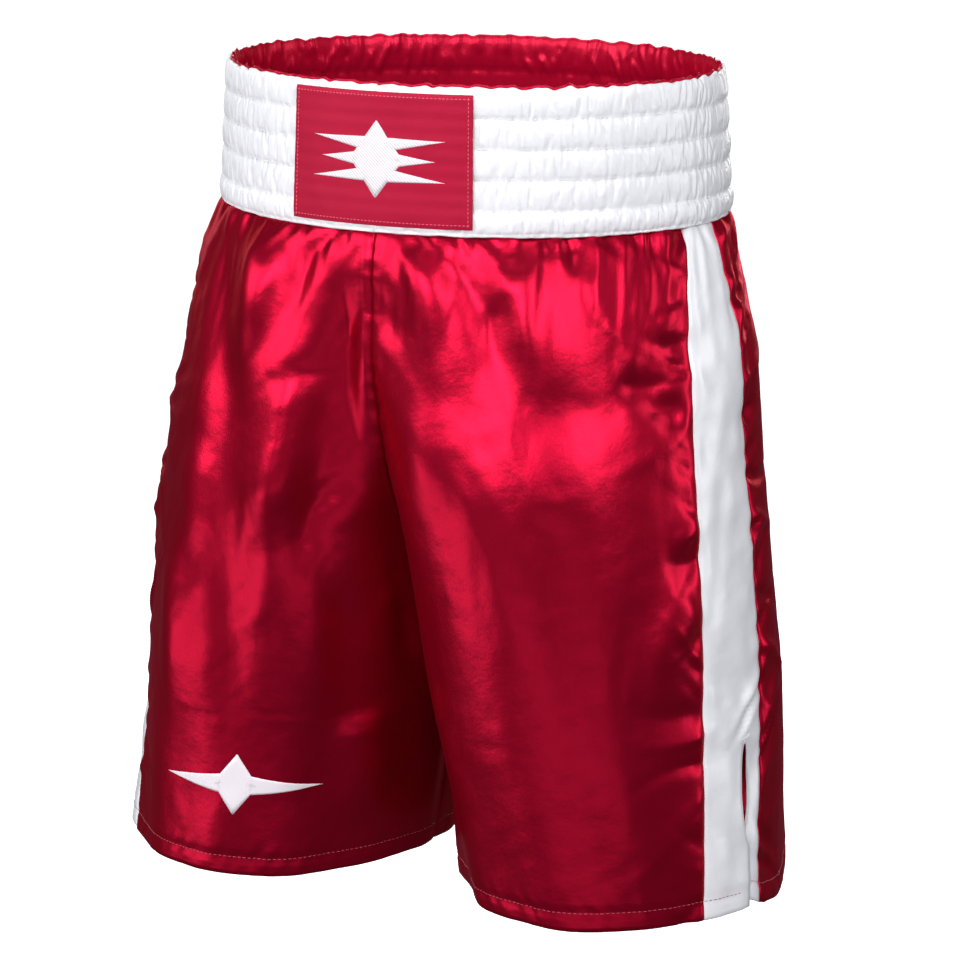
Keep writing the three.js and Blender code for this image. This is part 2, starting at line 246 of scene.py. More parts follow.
def near_line(s, z, line):
    """Distance from a line of points, and how far along it (0 to 1) the nearest place is."""
    best = np.full(s.shape, np.inf)
    along = np.zeros_like(s)
    steps = [math.dist(a, b) for a, b in zip(line, line[1:])]
    total, passed = sum(steps), 0.0
    for (s0, z0), (s1, z1), step in zip(line, line[1:], steps):
        t = np.clip(((s - s0) * (s1 - s0) + (z - z0) * (z1 - z0)) / step**2, 0, 1)
        away = np.hypot(s - s0 - t * (s1 - s0), z - z0 - t * (z1 - z0))
        nearer = away < best
        best = np.where(nearer, away, best)
        along = np.where(nearer, (passed + t * step) / total, along)
        passed += step
    return best, along


def long_folds(layout, side):
    s = layout.angle * LEG_RADIUS
    z = layout.height
    total = np.zeros_like(s)
    for which, rise, start, end, line in LONG_FOLDS:
        if which != side:
            continue
        away, along = near_line(s, z, [(math.radians(a) * LEG_RADIUS, h) for a, h in line])
        width = start + (end - start) * along
        ends = smoothstep(along * 4 + 0.3) * smoothstep((1 - along) * 1.7)
        total += rise * np.exp(-((away / width) ** 2)) * ends
    return total * smoothstep(0.3 + (SEAM_Z - z) / 45)


def gathers(layout, side, count=46):
    """Folds that run down from the waist seam: many short ones and a few long ones."""
    rng = seeded(5, side + 2)
    s = layout.angle * LEG_RADIUS
    down = SEAM_Z - layout.height
    total = np.zeros_like(s)
    start, end = 90, 270  # degrees: the outer half of the leg
    for k in range(count):
        place = math.radians(start + (end - start) * (k + rng.uniform(0.1, 0.9)) / count)
        length = min(12 + rng.exponential(19), 130)
        depth = rng.choice([-1, 1], p=[0.55, 0.45]) * (0.55 + 0.12 * math.sqrt(length))
        lean = rng.normal(0, 0.10)
        grow = 3.4 + 7.0 * np.sqrt(np.clip(down / 130, 0, 2))
        away = (s - place * LEG_RADIUS - lean * down) / grow
        fade = smoothstep(1 - down / length) * smoothstep(0.35 + down / 10)
        total += depth * np.exp(-(away**2)) * fade
    return total


def waist_dents(layout, side):
    """Short deep tucks right under the waistband, where the cloth is gathered into it."""
    rng = seeded(29, side + 2)
    s = layout.angle * LEG_RADIUS
    down = SEAM_Z - layout.height
    total = np.zeros_like(s)
    at, end = math.radians(60) * LEG_RADIUS, math.radians(300) * LEG_RADIUS
    while at < end:
        at += rng.uniform(4, 14)
        length = rng.uniform(9, 30)
        depth = rng.choice([-3.0, 1.2], p=[0.6, 0.4]) * rng.uniform(0.4, 1)
        width = rng.uniform(2.0, 3.8)
        lean = rng.normal(0, 0.4)
        away = s - at - lean * down
        total += depth * np.exp(-((away / (width + down / 9)) ** 2)) * smoothstep(1 - down / length)
    return total


def seam_puckers(layout, column, panel_side, depth, rng):
    """Slanting wrinkles that start at a stripe seam and run out over the panel beside it."""
    away = layout.from_edge(column) * panel_side
    z = layout.height
    total = np.zeros_like(z)
    at = SEAM_Z - 6
    while at > HEM_Z + 6:
        at -= rng.uniform(6, 19)
        run = rng.uniform(9, 46)
        width = rng.uniform(2.6, 4.0 + run / 12)
        height = depth * rng.choice([-1, 1]) * rng.uniform(0.35, 1) * (0.5 + run / 50)
        slant = rng.normal(0.45, 0.4) * rng.choice([-1, 1], p=[0.3, 0.7])
        line = at + slant * away + 5 * np.sin(away / 17 + at)
        out = np.exp(-((away / run) ** 2)) * (0.3 + 0.7 * smoothstep(away / 7))
        fade = np.where(away > 0, out, 0.3 * np.exp(-((away / 7) ** 2)))
        total += height * np.exp(-(((z - line) / width) ** 2)) * fade
    return total


def seam_dips(layout):
    """Every seam lies in a shallow valley."""
    total = np.zeros_like(layout.angle)
    for column in layout.seams[[0, 1, 3, 4]]:
        total -= 0.9 * np.exp(-((layout.from_edge(column) / 2.6) ** 2))
    return total


def at_rises(layout):
    """1 on the panels, fading to 0 at the centre seams and inseam, which both legs share."""
    edge = np.minimum(layout.from_edge(0), -layout.from_edge(-1))
    return smoothstep(edge / 16)


def centre_valley(layout):
    """The front centre seam sinks in between the legs; both legs share this."""
    down = SEAM_Z - layout.height
    profile = smoothstep((down - 20) / 120) * smoothstep((290 - down) / 90)
    profile += 0.35 * np.exp(-(((down - 45) / 22) ** 2))
    sink = 20 * profile * np.exp(-((layout.from_edge(0) / 25) ** 2))
    return np.stack([0 * sink, sink, 0 * sink], axis=-1)


def drape(layout, side):
    """How far the cloth stands out from the plain shape: folds, gathers and slow waves."""
    s = layout.angle * LEG_RADIUS
    z = layout.height
    rng = seeded(11, side + 2)
    total = long_folds(layout, side) + gathers(layout, side)
    down = SEAM_Z - z
    calm_from = 80 if side > 0 else 160  # the left leg hangs calm from higher up
    low = smoothstep(down / 60) * (1 - 0.8 * smoothstep((down - calm_from) / 110))
    bend_s = s + 14 * waves(s, z, 80, 160, 10, rng)
    bend_z = z + 18 * waves(s, z, 80, 160, 10, rng)
    total += 4.4 * low * waves(s, z, 80, 180, 18, rng, stretch=1.4)
    for crease_depth, short, long in ((2.6, 70, 140), (-2.2, 60, 120), (0.8, 30, 60)):
        crease = waves(bend_s, bend_z, short, long, 9, rng, stretch=1.8)
        total += crease_depth * low * np.sqrt(crease**2 + 0.006)
    hem = smoothstep((z - HEM_Z) / -260 + 1)
    total += 3.2 * hem * waves(s, z * 0.25, 55, 120, 9, rng)
    return total * at_rises(layout) * (1 - 0.5 * on_stripe(layout))


def on_stripe(layout):
    """1 on the stripe, whose two layers keep the cloth flat there, fading to 0 beside it."""
    front = smoothstep((layout.from_edge(layout.seams[1]) + 14) / 16)
    back = smoothstep((14 - layout.from_edge(layout.seams[3])) / 16)
    return front * back


def fine_wrinkles(layout, side):
    """Small wrinkles, added after the cloth has settled: seams, hem and the pinched top."""
    rng = seeded(23, side + 2)
    z = layout.height
    s = layout.angle * LEG_RADIUS
    total = seam_puckers(layout, layout.seams[1], -1, 2.1, rng)
    total += seam_puckers(layout, layout.seams[3], 1, 2.6, rng)
    down = SEAM_Z - z
    pinch = waves(s, z * 0.25, 7, 15, 26, rng)
    total += 0.6 * pinch * np.exp(-down / 11) + waist_dents(layout, side)
    hem = np.exp(-(((z - HEM_Z - HEM_TURN) / 8) ** 2))
    total += 0.5 * hem * waves(s + z * 0.5, z * 0.2, 8, 18, 16, rng)
    total -= 0.7 * np.exp(-(((z - HEM_Z - HEM_TURN) / 2.2) ** 2))
    total += 0.16 * waves(s, z, 9, 22, 22, rng, stretch=1.4)
    stripe = smoothstep(layout.from_edge(layout.seams[1]) / 6)
    stripe = stripe * smoothstep(-layout.from_edge(layout.seams[3]) / 6)
    total += 0.9 * stripe * waves(s, z, 14, 46, 20, rng, stretch=1.6)
    vent = layout.from_edge(layout.seams[2])
    for depth, shift, width in ((-2.4, 0, 3.2), (1.8, 8, 4.5), (1.0, -7, 4)):
        line = VENT_APEX_Z + 13 + shift + 0.75 * vent
        total += depth * np.exp(-(((z - line) / width) ** 2)) * np.exp(-(((vent - 5) / 13) ** 2))
    return total * at_rises(layout) + seam_dips(layout)


def rise_puckers(layout):
    """Little dents along the centre seams; both legs share these."""
    z = layout.height
    dents = waves(z, 0 * z, 5, 13, 12, seeded(31))
    near = np.exp(-((layout.from_edge(0) / 4) ** 2)) + np.exp(-((layout.from_edge(-1) / 4) ** 2))
    dents = 0.5 * dents * near * smoothstep((z - CROTCH_Z - 20) / 40)
    return np.stack([0 * dents, dents, 0 * dents], axis=-1)


def hem_shift(layout):
    """How the hem runs: a little high behind the vent, lower over the back of the leg."""
    behind = layout.from_edge(layout.seams[2])
    rise = 5.0 * np.exp(-(((behind - 6) / 12) ** 2)) * (behind > 0)
    drop = -11.0 * np.exp(-(((behind - 75) / 48) ** 2))
    low = smoothstep((-300 - layout.height) / 150)
    lift = (rise + drop) * low
    return np.stack([0 * lift, 0 * lift, lift], axis=-1)


# ------------------------------------------------------------------ the body as one cloth

COARSE = Layout(58, (44, 5, 3, 46))
FINE = Layout(164, (120, 13, 7, 126))
SETTLE_FRAMES = 26
SMOOTHING_ROUNDS = 10
SLOW_SHARE = 0.35  # how much of the cloth's slow sag is kept
PUCKER_SHARE = 0.5  # how much of its puckering below the waist seam is kept
FORM_GAP = 11.0  # from the cloth in to the body form


def weld(grids, tolerance=0.01):
    """One welded mesh from the grids of both legs: points, quads and each grid point's index."""
    shape = grids[0].shape[:2]
    flat = np.concatenate([grid.reshape(-1, 3) for grid in grids])
    _, first, index = np.unique(
        np.round(flat / tolerance).astype(int), axis=0, return_index=True, return_inverse=True
    )
    index = index.reshape((len(grids),) + shape)
    quads = []
    for ids, side in zip(index, SIDES.values()):
        quad = [ids[:-1, :-1], ids[1:, :-1], ids[1:, 1:], ids[:-1, 1:]]
        quad = np.stack(quad, axis=-1).reshape(-1, 4)
        quads.append(quad if side > 0 else quad[:, ::-1])
    quads = np.concatenate(quads)
    kept = [len(set(quad)) == 4 for quad in quads.tolist()]
    return flat[first], quads[kept], index


def raw_object(name, points, faces):
    mesh = bpy.data.meshes.new(name)
    mesh.from_pydata((points * MM).tolist(), [], faces.tolist())
    mesh.update()
    made = bpy.data.objects.new(name, mesh)
    bpy.context.scene.collection.objects.link(made)
    return made


def settle(starts):
    """Runs the cloth over a body form and gives back where each leg's grid has settled."""
    scene = bpy.context.scene
    cut = scene.shorts_cloth
    plain = [COARSE.points(side) for side in SIDES.values()]
    _, quads, index = weld(plain)
    count = index.max() + 1
    points = np.zeros((count, 3))
    points[index.ravel()] = np.concatenate([grid.reshape(-1, 3) for grid in starts])
    cloth = raw_object("settling_cloth", points, quads)

    form_layout = Layout(14, (10, 1, 1, 10))
    form_points, form_quads, _ = weld([form_layout.points(s, -FORM_GAP) for s in SIDES.values()])
    form = raw_object("body_form", form_points, form_quads)
    form.modifiers.new("Collision", "COLLISION")
    form.collision.thickness_outer = 0.002
    form.collision.cloth_friction = 5

    fullness = 1 + cut.extra_fullness * np.clip(1 + (points[:, 2] - SEAM_Z) / 170, 0, 1) ** 1.5
    cloth.shape_key_add(name="Basis")
    rest = cloth.shape_key_add(name="Cut size")
    wider = points * np.stack([fullness, fullness, np.ones(count)], axis=1) * MM
    rest.data.foreach_set("co", wider.ravel())
    rest.value = 0
    held = cloth.vertex_groups.new(name="waist_seam")
    at_seam = np.where(points[:, 2] > SEAM_Z - 0.5)[0]
    held.add([int(i) for i in at_seam], 1.0, "REPLACE")
    sim = cloth.modifiers.new("Cloth", "CLOTH")
    sim.settings.quality = 5
    sim.settings.mass = 0.12
    sim.settings.tension_stiffness = 20
    sim.settings.compression_stiffness = 20
    sim.settings.shear_stiffness = 8
    sim.settings.bending_stiffness = 0.4
    sim.settings.air_damping = 2
    sim.settings.vertex_group_mass = "waist_seam"
    sim.settings.rest_shape_key = rest
    sim.collision_settings.distance_min = 0.002
    sim.point_cache.frame_start = 1
    sim.point_cache.frame_end = SETTLE_FRAMES
    scene.frame_start, scene.frame_end = 1, SETTLE_FRAMES
    for number in range(1, SETTLE_FRAMES + 1):
        scene.frame_set(number)
    evaluated = cloth.evaluated_get(bpy.context.evaluated_depsgraph_get())
    found = np.empty(count * 3)
    evaluated.data.vertices.foreach_get("co", found)
    scene.frame_set(1)
    for extra in (cloth, form):
        bpy.data.objects.remove(extra)
    return [found.reshape(-1, 3)[ids] / MM for ids in index]


SETTLED = {}


def body_cloth():
    """The finished grid of each leg, in millimetres, as {side: (points, normals)}."""
    if SETTLED:
        return SETTLED
    starts = []
    for side in SIDES.values():
        plain = COARSE.points(side)
        out = normals_of(plain, side)
        folded = plain + out * drape(COARSE, side)[..., None]
        starts.append(folded + centre_valley(COARSE))
    ends = settle(starts)
    rows = np.linspace(0, COARSE.rows, FINE.rows + 1)
    columns = np.interp(FINE.share, COARSE.share, np.arange(len(COARSE.share)))
    for side, start, end in zip(SIDES.values(), starts, ends):
        plain = FINE.points(side)
        above_crotch = smoothstep((COARSE.height + 290) / 110)[..., None]
        change = (end - start) * above_crotch
        calm = change.copy()
        for _ in range(SMOOTHING_ROUNDS):
            calm[1:-1, 1:-1] = (calm[:-2, 1:-1] + calm[2:, 1:-1] + calm[1:-1, :-2]
                                + calm[1:-1, 2:] + 2 * calm[1:-1, 1:-1]) / 6
        near_seam = np.exp(-(((SEAM_Z - COARSE.height) / 50) ** 2))[..., None]
        settled = start + SLOW_SHARE * calm + PUCKER_SHARE * (change - calm) * near_seam
        moved = plain + resample(settled - COARSE.points(side), rows, columns)
        out = normals_of(moved, side)
        grid = moved + out * (fine_wrinkles(FINE, side) + vent_flare(side))[..., None]
        grid += rise_puckers(FINE) + hem_shift(FINE)
        above = FINE.z > CROTCH_Z
        for column in (0, -1):
            grid[above, column, 0] = 0
        grid[..., :2] *= tuck(grid[..., 2:])
        SETTLED[side] = (grid, normals_of(grid, side))
    return SETTLED


def tuck(z):
    """The top edge of the cloth goes in under the waistband."""
    return 1 - 0.014 * np.exp(-(SEAM_Z - z) / 3.0)


FLARE_OUT = {-1: 15.0, 1: 2.5}
FLARE_REACH = 34.0
FLARE_TOP = VENT_APEX_Z + 20


def vent_flare(side):
    """The flaps of a vent stand out a little at the hem, the right leg's more."""
    away = FINE.from_edge(FINE.seams[2])
    down = np.clip((FLARE_TOP - FINE.height) / (FLARE_TOP - HEM_Z), 0, 1)
    return FLARE_OUT[side] * down**1.1 * np.exp(-((away / FLARE_REACH) ** 2))


# ------------------------------------------------------------------ mesh pieces


def grid_faces(rows, columns, flip=False, ring=False):
    ids = np.arange((rows + 1) * (columns + (0 if ring else 1))).reshape(rows + 1, -1)
    if ring:
        ids = np.concatenate([ids, ids[:, :1]], axis=1)
    quad = [ids[:-1, :-1], ids[1:, :-1], ids[1:, 1:], ids[:-1, 1:]]
    quad = np.stack(quad, axis=-1).reshape(-1, 4)
    return quad[:, ::-1] if flip else quad


def piece(name, parts, material, slot, nodes=(), body=BODY, wall=0.0, offset=-1.0, merge=False):
    """A finished piece from parts of (points, faces, uv), in millimetres."""
    points, faces, uv, start = [], [], [], 0
    for part_points, part_faces, part_uv in parts:
        points.append(part_points.reshape(-1, 3))
        faces.append(part_faces + start)
        uv.append(part_uv.reshape(-1, 2))
        start += len(points[-1])
    points, uv = np.concatenate(points) * MM, np.concatenate(uv) * MM
    faces = np.concatenate(faces)
    name = "sewn_" + name
    mesh = bpy.data.meshes.new(name)
    mesh.vertices.add(len(points))
    mesh.vertices.foreach_set("co", points.ravel())
    mesh.loops.add(faces.size)
    mesh.loops.foreach_set("vertex_index", faces.ravel())
    mesh.polygons.add(len(faces))
    mesh.polygons.foreach_set("loop_start", np.arange(len(faces)) * faces.shape[1])
    mesh.update(calc_edges=True)
    layer = mesh.uv_layers.new(name="cloth")
    layer.data.foreach_set("uv", uv[faces.ravel()].ravel())
    mesh.polygons.foreach_set("use_smooth", np.ones(len(faces), bool))
    if merge:
        sewn = bmesh.new()
        sewn.from_mesh(mesh)
        bmesh.ops.remove_doubles(sewn, verts=sewn.verts, dist=0.03 * MM)
        sewn.to_mesh(mesh)
        sewn.free()
    mesh.materials.append(material)
    made = bpy.data.objects.new(name, mesh)
    bpy.context.scene.collection.objects.link(made)
    if wall:
        thick = made.modifiers.new("Wall", "SOLIDIFY")
        thick.thickness = wall * MM
        thick.offset = offset
        thick.use_rim = True
    return finish_piece(made, nodes, body)


def finish_piece(made, nodes, body=BODY):
    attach(made, body)
    if nodes:
        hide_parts(*nodes)
    return made


def hemmed(grid, normals, turn=HEM_TURN, gap=1.5):
    """The grid with its lower edge turned up on the inside."""
    step = abs(grid[-1, 0, 2] - grid[-2, 0, 2])
    fold = [grid[-1] - normals[-1] * gap * 0.5 - np.array([0, 0, 0.7])]
    for k in range(0, max(2, round(turn / step)) + 1):
        fold.append(grid[-1 - k] - normals[-1 - k] * gap)
    return np.concatenate([grid, np.array(fold)])


def cloth_uv(shape, side, first_column=0):
    """Lengths across and down the cloth, in millimetres."""
    rows, columns = shape[:2]
    v = np.repeat(np.arange(rows)[:, None] * (SEAM_Z - HEM_Z) / FINE.rows, columns, axis=1)
    across = (FINE.angle[0] * LEG_RADIUS)[first_column : first_column + columns]
    u = np.repeat(across[None] * side, rows, axis=0)
    return np.stack([u, -v], axis=-1)


def leg_piece(name, side, first, last, material, slot):
    grid, normals = body_cloth()[side]
    part = hemmed(grid[:, first : last + 1], normals[:, first : last + 1])
    rows, columns = part.shape[0] - 1, part.shape[1] - 1
    faces = grid_faces(rows, columns, flip=side < 0)
    uv = cloth_uv(part.shape, side, first)
    return piece(name, [(part, faces, uv)], material, slot, nodes=(name,), wall=0.6)


def make_panels():
    red = satin_red()
    for word, side in SIDES.items():
        _, front, _, back, last = (int(n) for n in FINE.seams)
        panel = leg_piece(f"{word}_front_panel", side, 0, front, red, "red_satin")
        panel = leg_piece(f"{word}_back_panel", side, back, last, red, "red_satin")


VENT_TURN_COLUMNS = 5


def vent_flap(flap, out, open_share, rear):
    """One flap of a stripe, bowed away from the vent. The rear one runs in behind the front."""
    edge_share = np.linspace(0, 1, flap.shape[1])
    if rear:
        edge_share = 1 - edge_share
    lens = np.sin(math.pi * np.clip(open_share / 0.62, 0, 1)) ** 0.7
    crossing = 6.0 * smoothstep((open_share - 0.42) / 0.3)
    pull = 10.0 * lens - 0.3 * crossing if rear else crossing - 6.0 * lens
    flap[..., 1] += pull[:, None] * edge_share[None] ** 1.5
    if rear:
        behind = 4.0 * smoothstep(open_share * 4)
        flap -= out * (behind[:, None] * edge_share[None])[..., None]
    return flap


def make_stripes():
    white = satin_white()
    apex = int(np.searchsorted(-FINE.z, -VENT_APEX_Z))
    open_share = np.clip((VENT_APEX_Z - FINE.z) / (VENT_APEX_Z - HEM_Z), 0, 1)
    for word, side in SIDES.items():
        grid, normals = body_cloth()[side]
        _, front, vent, back, _ = (int(n) for n in FINE.seams)
        parts = []
        for first, last, rear in ((front, vent, False), (vent, back, True)):
            out = normals[:, first : last + 1]
            flap = vent_flap(grid[:, first : last + 1].copy(), out, open_share, rear)
            whole = hemmed(flap, out)
            rows, columns = whole.shape[0] - 1, whole.shape[1] - 1
            faces = grid_faces(rows, columns, flip=side < 0)
            parts.append((whole, faces, cloth_uv(whole.shape, side, first)))
            # The turned edge of the vent: a narrow strip folded back on the inside.
            picked = np.arange(VENT_TURN_COLUMNS)
            if not rear:
                picked = columns - picked
            strip = flap[apex:, picked] - out[apex:, picked] * 1.3
            strip[:, 0] = flap[apex:, picked[0]] - out[apex:, picked[0]] * 0.3
            turned = grid_faces(strip.shape[0] - 1, strip.shape[1] - 1, (side > 0) == rear)
            parts.append((strip, turned, cloth_uv(strip.shape, side, first)))
        name = f"{word}_side_stripe"
        stripe = piece(name, parts, white, "white_satin", (name,), wall=0.55, merge=True)


def on_cloth(side, angle, z, lift):
    """Points on the finished cloth at given angles and heights, raised by lift."""
    grid, normals = body_cloth()[side]
    angle, z, lift = (v.astype(float) for v in np.broadcast_arrays(angle, z, lift))
    row = np.interp(-z, -FINE.z, np.arange(FINE.rows + 1))
    i = np.clip(row.astype(int), 0, FINE.rows - 1)
    t = row - i
    column = np.empty(angle.shape)
    for place in np.ndindex(angle.shape):
        k = i[place]
        line = FINE.angle[k] * (1 - t[place]) + FINE.angle[k + 1] * t[place]
        column[place] = np.interp(angle[place], line, np.arange(len(line)))
    j = np.clip(column.astype(int), 0, FINE.angle.shape[1] - 2)
    t, u = t[..., None], (column - j)[..., None]

    def between(values):
        above = values[i, j] * (1 - u) + values[i, j + 1] * u
        below = values[i + 1, j] * (1 - u) + values[i + 1, j + 1] * u
        return above * (1 - t) + below * t

    return between(grid) + between(normals) * lift[..., None]


# ------------------------------------------------------------------ waistband

BAND_COLUMNS = 1350
LINING_COLUMNS = 720
ROWS_PER_CHANNEL = 10
RIB_PITCH = 6.4


def band_half(z):
    t = (z - BAND_BOTTOM) / (BAND_TOP - BAND_BOTTOM)
    return tuple(b + (a - b) * t for a, b in zip(BAND_TOP_HALF, BAND_BOTTOM_HALF))


def band_point(angle, z, offset):
    """Points on the waistband at an angle from the middle of the front."""
    half_x, half_y = band_half(z)
    x = (half_x + offset) * np.sin(angle)
    y = BAND_CENTRE_Y - (half_y + offset) * np.cos(angle)
    return np.stack([x, y, z + 0 * x], axis=-1)


def creases(s, v, height, girth, count, rng, width, depth, reach=(0.25, 1.1)):
    """Fine creases that run across a gathered channel from one of its two seams."""
    total = np.zeros(np.broadcast(s, v).shape)
    for k in range(count):
        place = girth * (k + rng.uniform(0, 1)) / count
        wide = rng.uniform(*width)
        deep = rng.uniform(*depth)
        long = rng.uniform(*reach)
        lean = rng.normal(0, 0.22) * height
        edge = v if rng.random() < 0.5 else 1 - v
        away = np.abs(s - place - lean * (edge - 0.2))
        away = np.minimum(away, girth - away)
        fade = smoothstep((long - edge) / (0.5 * long))
        total += deep * np.exp(-((away / wide) ** 2)) * fade
    return total


def channel_seams():
    return BAND_TOP - np.concatenate([[0], np.cumsum(CHANNEL_HEIGHTS)])


def make_band_casing():
    angle = np.arange(BAND_COLUMNS) * TAU / BAND_COLUMNS
    girth = BAND_GIRTH
    s = (angle * girth / TAU)[None]
    seams = channel_seams()
    rows, heights = [], []
    for i, height in enumerate(CHANNEL_HEIGHTS):
        rng = seeded(41, i)
        last = i == len(CHANNEL_HEIGHTS) - 1
        v = (np.arange(ROWS_PER_CHANNEL + (1 if last else 0)) / ROWS_PER_CHANNEL)[:, None]
        round_off = np.clip(np.sin(math.pi * np.clip(v, 0.004, 0.996)), 0, 1) ** 0.4
        full = 1.35 if not last else 2.2
        uneven = waves(s, v * height, 25, 90, 12, rng) * 0.25
        puff = waves(s + 0 * v, v * height * 0.35, 5, 13, 40, rng) * 0.32
        crease = creases(s, v, height, girth, 230, rng, (0.7, 1.5), (-0.9, -0.25))
        pinch = creases(s, v, height, girth, 240, rng, (0.8, 1.9), (-1.0, -0.4), (0.12, 0.34))
        offset = (full + uneven) * round_off + (puff + crease) * (0.35 + 0.65 * round_off)
        offset = offset + pinch * (0.4 + 0.6 * (1 - round_off))
        wander = 0.45 * waves(s, 0 * s, 20, 80, 8, seeded(43, i))
        z = seams[i] - v * height + wander * (1 - np.abs(2 * v - 1)) * 0.6
        z = z + wander * 0.6 * np.ones_like(v)
        rows.append(offset)
        heights.append(np.broadcast_to(z, offset.shape))
    offsets = np.concatenate(rows)
    heights = np.concatenate(heights)
    rng = seeded(47)
    scallop = waves(s, 0 * s, 6, 18, 24, rng)
    top = [(-2.0, -2.4), (0.4, -2.3), (1.1, -1.4), (0.9, -0.2)]
    above = [(BAND_TOP + z + 1.5 * scallop[0], off + 0.4 * scallop[0]) for z, off in top]
    low = waves(s, 0 * s, 8, 22, 20, rng)[0]
    bottom = [(-0.7, 0.6), (-1.6, -0.4), (-1.0, -1.8)]
    below = [(BAND_BOTTOM + z + 0.5 * low, off + 0.2 * low) for z, off in bottom]
    heights = np.vstack([[z for z, _ in above], heights, [z for z, _ in below]])
    offsets = np.vstack([[off for _, off in above], offsets, [off for _, off in below]])
    grid = band_point(angle[None], heights, offsets)
    uv = np.stack([np.broadcast_to(s, heights.shape), heights], axis=-1)
    faces = grid_faces(len(grid) - 1, BAND_COLUMNS, ring=True)
    white = satin_white("band_satin", pucker=1.0)
    name = "waistband_shell"
    casing = piece(name, [(grid, faces, uv)], white, "white_satin", (name,))


def make_band_lining():
    angle = np.arange(LINING_COLUMNS) * TAU / LINING_COLUMNS
    girth = LINING_GIRTH
    s = (angle * girth / TAU)[None]
    rng = seeded(53)
    z = np.concatenate([[BAND_TOP + 2.4], np.linspace(BAND_TOP + 1.5, BAND_TOP - 20, 13),
                        np.linspace(BAND_TOP - 22, BAND_BOTTOM, 22)])[:, None]
    v = np.clip((BAND_TOP - z) / 20, 0, 1)
    upper = z >= BAND_TOP - 20
    puff = np.where(upper, 1.3 * np.sin(math.pi * v) ** 0.5, 0.25)
    crease = creases(s, v, 20, girth, 150, rng, (1.2, 2.6), (-1.6, -0.4), (0.4, 1.2))
    crease += creases(s, 1 - v, 20, girth, 120, rng, (1.0, 2.0), (-0.9, -0.3), (0.3, 0.8))
    ribs = 0.75 * np.abs(np.sin(s * TAU / RIB_PITCH / 2 + 2.0 * waves(s, 0 * s, 15, 60, 8, rng)))
    ribs = ribs * (0.6 + 0.4 * waves(s, z, 20, 80, 12, rng))
    inward = puff + np.where(upper, -crease * 0.9, ribs)
    below_rim = smoothstep((BAND_TOP - 1 - z) / 5)
    seam_x = np.abs(np.sin(angle)[None] * band_half(0)[0])
    centre_back = np.where(np.cos(angle)[None] < 0, np.exp(-((seam_x / 1.6) ** 2)), 0)
    offset = -2.7 - inward + centre_back * below_rim
    # The lining's ruffle keeps step with the casing's.
    casing_s = angle[None] * BAND_GIRTH / TAU
    top_wave = 1.5 * waves(casing_s, 0 * casing_s, 6, 18, 24, seeded(47))
    z_all = z + np.exp(-(BAND_TOP - z).clip(0) / 3) * top_wave
    # The lower edge covers the waist seam, and stays clear of the care label at the back.
    label_gap = np.where(np.cos(angle)[None] < 0, np.exp(-((seam_x / 48) ** 4)), 0)
    z_all = z_all - 2.5 * (1 - label_gap) * np.exp(-(z - BAND_BOTTOM) / 4)
    grid = band_point(angle[None], z_all, offset + 0 * z_all)
    uv = np.stack([np.broadcast_to(s, z_all.shape), z_all], axis=-1)
    faces = grid_faces(len(grid) - 1, LINING_COLUMNS, flip=True, ring=True)
    name = "waistband_lining"
    # The lining is the body's red satin painted 5% lighter (lift 1.05): painted light for the shaded
    # inside of the band.
    red = satin_red("lining_satin", gloss=0.9, metal=0.4, lift=1.05)
    lining = piece(name, [(grid, faces, uv)], red, "lining_red", (name,), wall=0.5)


def dress_elastics():
    knit = elastic_knit()
    for name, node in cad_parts.items():
        if name.startswith("elastic_"):
            node.data.materials.clear()
            node.data.materials.append(knit)


# ------------------------------------------------------------------ patch and emblems

PATCH_HALF = 58.3
PATCH_SHIFT = 1.2
PATCH_TOP = 39.5
PATCH_BOTTOM = -39.0
PATCH_LIFT = 1.9
PATCH_WALL = 0.9
CHANNEL_WAVE = 17.2  # the patch swells a little with the channels under it


def on_patch(across, up, lift):
    """Points on the front of the band, in flat millimetres across and up."""
    swell = 0.12 * np.sin((BAND_TOP - up) * TAU / CHANNEL_WAVE) ** 2
    edge = np.minimum(PATCH_TOP - up, up - PATCH_BOTTOM)
    pull = 0.5 * np.exp(-((edge / 2.2) ** 2))
    return band_point(across / BAND_TOP_HALF[0], up, PATCH_LIFT + lift + swell - pull)


def make_patch():
    across = np.linspace(-PATCH_HALF, PATCH_HALF, 113)[None] + PATCH_SHIFT
    up = np.linspace(PATCH_TOP, PATCH_BOTTOM, 80)[:, None]
    rng = seeded(61)
    across_all = across + 0 * up
    up_all = up + 0 * across
    wobble = 0.28 * waves(across_all, up_all, 14, 60, 16, rng)
    grid = on_patch(across_all, up_all, PATCH_WALL + wobble)
    uv = np.stack([across_all, up_all], axis=-1)
    faces = grid_faces(grid.shape[0] - 1, grid.shape[1] - 1)
    patch = piece("front_patch", [(grid, faces, uv)], patch_weave(), "patch_red",
                  ("front_patch",), wall=PATCH_WALL)
    bevel = patch.modifiers.new("Edge", "BEVEL")
    bevel.width, bevel.segments, bevel.limit_method = 0.25 * MM, 2, "ANGLE"


BAR_ROWS = 48
BAR_COLUMNS = 9


